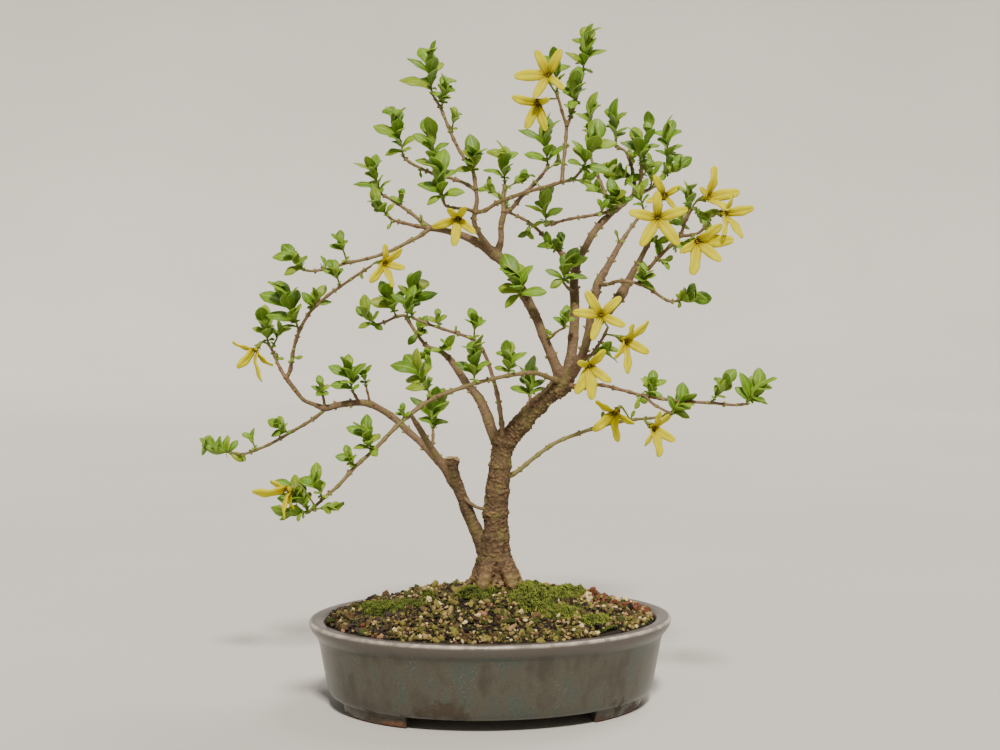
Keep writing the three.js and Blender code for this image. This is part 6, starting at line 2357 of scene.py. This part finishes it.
@dataclass
class YellowBloom:
    """A forsythia bloom: a short tube that opens into strap-like petals, with two anthers."""

    number: int
    flower: Flower
    finishes: list[Material]

    def build(self) -> Object:
        """Makes the bloom.

        Returns:
            The bloom.
        """
        name = f"bloom_{self.number:02d}"
        piece = Piece(f"{name}_corolla", self.finishes)
        key = self.number * 17.0
        flower = self.flower
        piece.add(self.cup(), 0)
        for number, tip in enumerate(flower.tips):
            self.petal(piece, tip, key + number)
        self.anthers(piece, key)
        return piece.finish(Slot.PETAL, [name])

    def cup(self) -> BMesh:
        """Spins the hollow tube: its outside, its rim and its dark throat.

        Returns:
            The tube in its place.
        """

        def spin_cup(bm: BMesh) -> None:
            """Makes the tube along Z, in millimetres, with its mouth at 0."""
            spin_round(bm, CUP, 12)
            bmesh.ops.recalc_face_normals(bm, faces=bm.faces[:])

        shape = copy_of(("cup",), spin_cup)
        aim = self.flower.face.to_track_quat("Z", "Y").to_matrix()
        grain = shape.verts.layers.float_vector["grain"]
        for vert in shape.verts:
            reach = math.hypot(vert.co.x, vert.co.y)
            # The inside of the tube takes the darkest colour: its own olive, and partly painted shade down
            # the tube.
            inside = vert.co.z > -2.15 and reach < 1.75
            vert[grain] = (0.0 if inside else 0.15, math.atan2(vert.co.y, vert.co.x), 0)
            vert.co = self.flower.throat + aim @ vert.co * MM
        return shape

    def petal(self, piece: Piece, tip: Vector, key: float) -> None:
        """Makes one petal from the tube's mouth to its tip.

        Args:
            piece: What it is added to.
            tip: The petal's tip.
            key: The draw that varies it.
        """
        flower = self.flower
        reach = tip - flower.throat
        out = (reach - flower.face * reach.dot(flower.face)).normalized()
        root = flower.throat + out * 1.1 * MM - flower.face * 1.1 * MM
        face = flower.face - SIGHT * 0.15 + out * 0.25 * (draw(key + 2) - 0.5)
        piece.add(blade(root, tip, face, PETAL_FORM, key), 0)

    def anthers(self, piece: Piece, key: float) -> None:
        """Makes the two anthers and the style in the throat.

        Args:
            piece: What they are added to.
            key: The draw that varies them.
        """
        flower = self.flower
        side = flower.face.cross(UP).normalized()
        side = Matrix.Rotation(math.tau * draw(key + 5), 3, flower.face) @ side
        for turn, reach, width in ((0, 0.42, 0.36), (2.6, 0.4, 0.33), (4.5, 0.2, 0.24)):
            out = Matrix.Rotation(turn, 3, flower.face) @ side
            foot = flower.throat - flower.face * 2.3 * MM + out * reach * MM
            tip = foot + flower.face * 1.9 * MM + out * 0.25 * MM
            piece.add(rod(foot, tip, [0.2, 0.2, width, 0.7 * width], 6, draw(key + turn)), 1)


@dataclass
class DrainScreens:
    """The two plastic mesh squares over the drain holes, kept as they are in the solids."""

    nodes: tuple[str, ...] = ("drain_screen_left", "drain_screen_right")

    def dress(self) -> None:
        """Gives the screens their moulded plastic."""
        plastic = Plain("moulded_polyethylene", "#171c1a", "#262c28", 0.5, 0.8).make()
        for name in self.nodes:
            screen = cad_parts[name]
            for slot in screen.material_slots:
                slot.material = plastic


@dataclass
class Studio:
    """The pale floor, the soft lights and the camera."""

    sensor: float = 36  # millimetres
    sheet: float = 1000  # pixels across
    gap: float = 0.0005  # metres between the floor and the pot's feet
    sweep: list[tuple[float, float]] = field(default_factory=lambda: [
        (0, 0), (2.4, 0), (2.8, 0.06), (3.15, 0.25), (3.35, 0.6), (3.4, 1.0), (3.4, 1.6)])  # metres

    def floor(self) -> None:
        """Spins the pale floor, which sweeps up far away."""
        bm = bmesh.new()
        spin_round(bm, self.sweep, 64)
        for face in bm.faces:
            face.normal_update()
            face.smooth = True
            if face.normal.z < 0 or face.normal.dot(face.calc_center_median()) > 0.01:
                face.normal_flip()
        mesh = bpy.data.meshes.new("floor")
        bm.to_mesh(mesh)
        bm.free()
        mesh.materials.append(Plain("pale_paper", "#c3c1bc", "#c7c5c0", 0.9, 400).make())
        floor = show("floor", mesh)
        floor.location.z = -self.gap

    def build(self) -> None:
        """Sets up the studio."""
        self.floor()
        world = bpy.data.worlds.new("soft_room")
        world.use_nodes = True
        backdrop = world.node_tree.nodes["Background"]
        backdrop.inputs["Color"].default_value = colour("#e6e6e6")
        backdrop.inputs["Strength"].default_value = 0.3
        bpy.context.scene.world = world
        self.light("key", facing([0.05, 0.95, 0.85]), 5.0, 8)
        self.light("top", facing([0.45, 1.0, -0.35]), 1.4, 25)
        self.camera()

    def light(self, name: str, origin: Vector, strength: float, spread: float) -> None:
        """Hangs a soft lamp, far off, so that it lights the floor evenly.

        Args:
            name: Its name.
            origin: The direction that it shines from.
            strength: Its strength in watts per square metre.
            spread: How wide it looks, in degrees.
        """
        lamp = bpy.data.lights.new(name, "SUN")
        lamp.angle = math.radians(spread)
        lamp.energy = strength
        lamp.color = colour("#fff6ea")[:3]
        show(name, lamp).rotation_euler = (-origin).to_track_quat("-Z", "Y").to_euler()

    def camera(self) -> None:
        """Places the camera where the photograph was taken from."""
        lens = bpy.data.cameras.new("camera")
        lens.lens = self.sensor * SHEET["focal"] / self.sheet
        lens.sensor_width = self.sensor
        lens.clip_start = 0.01
        eye = show("camera", lens)
        stand = Vector((EYE["right"], -EYE["distance"], EYE["height"]))
        eye.location = Matrix.Rotation(FRONT_TURN, 3, "Z") @ stand * MM + MIDDLE
        eye.rotation_euler = (math.pi / 2 - EYE["pitch"], 0, FRONT_TURN)
        bpy.context.scene.camera = eye


def main() -> None:
    """Builds the tree, its pot and the studio, piece by piece."""
    Studio().build()
    LOG.info("studio ready")
    GlazedPot().build()
    beds = [
        MossBed("bright_moss", "moss_right", [(532, 597, 25, 17, 3.2), (570, 592, 24, 7, 2.6),
                                              (597, 620, 17, 7, 1.6), (560, 612, 26, 8, 1.4)], 1.0),
        MossBed("trunk_moss", "moss_trunk", [(474, 594, 18, 8, 2.8), (486, 591, 16, 4, 1.6)], 0.85),
        MossBed("left_moss", "moss_left", [(382, 609, 26, 8, 2.2), (427, 597, 7, 5, 3.2),
                                           (405, 603, 24, 5, 0.8)], 0.75),
        MossBed("front_moss", "moss_front", [(612, 632, 15, 6, 1.8)], 0.7),
    ]
    soil = GrittySoil()
    soil.build(beds)
    DrainScreens().dress()
    for bed in beds:
        bed.build(soil)
    TreeWood().build()
    stem_finishes = [YoungBark().make(), SoftStem().make(), Leaf().make()]
    petal_finishes = [Petal().make(), Plain("pollen_anther", "#a18a2c", "#bda748", 0.7, 0.5).make()]
    blooms = 0
    for number, (name, twigs) in enumerate(STEMS.items()):
        LeafyStem(name, twigs, number + 1, stem_finishes).build()
        for twig in twigs:
            for bloom in twig.blooms:
                blooms += 1
                YellowBloom(blooms, Flower(bloom, Line.through(twig.route)), petal_finishes).build()
    LOG.info("done: %d blooms", blooms)


if __name__ == "__main__":
    main()
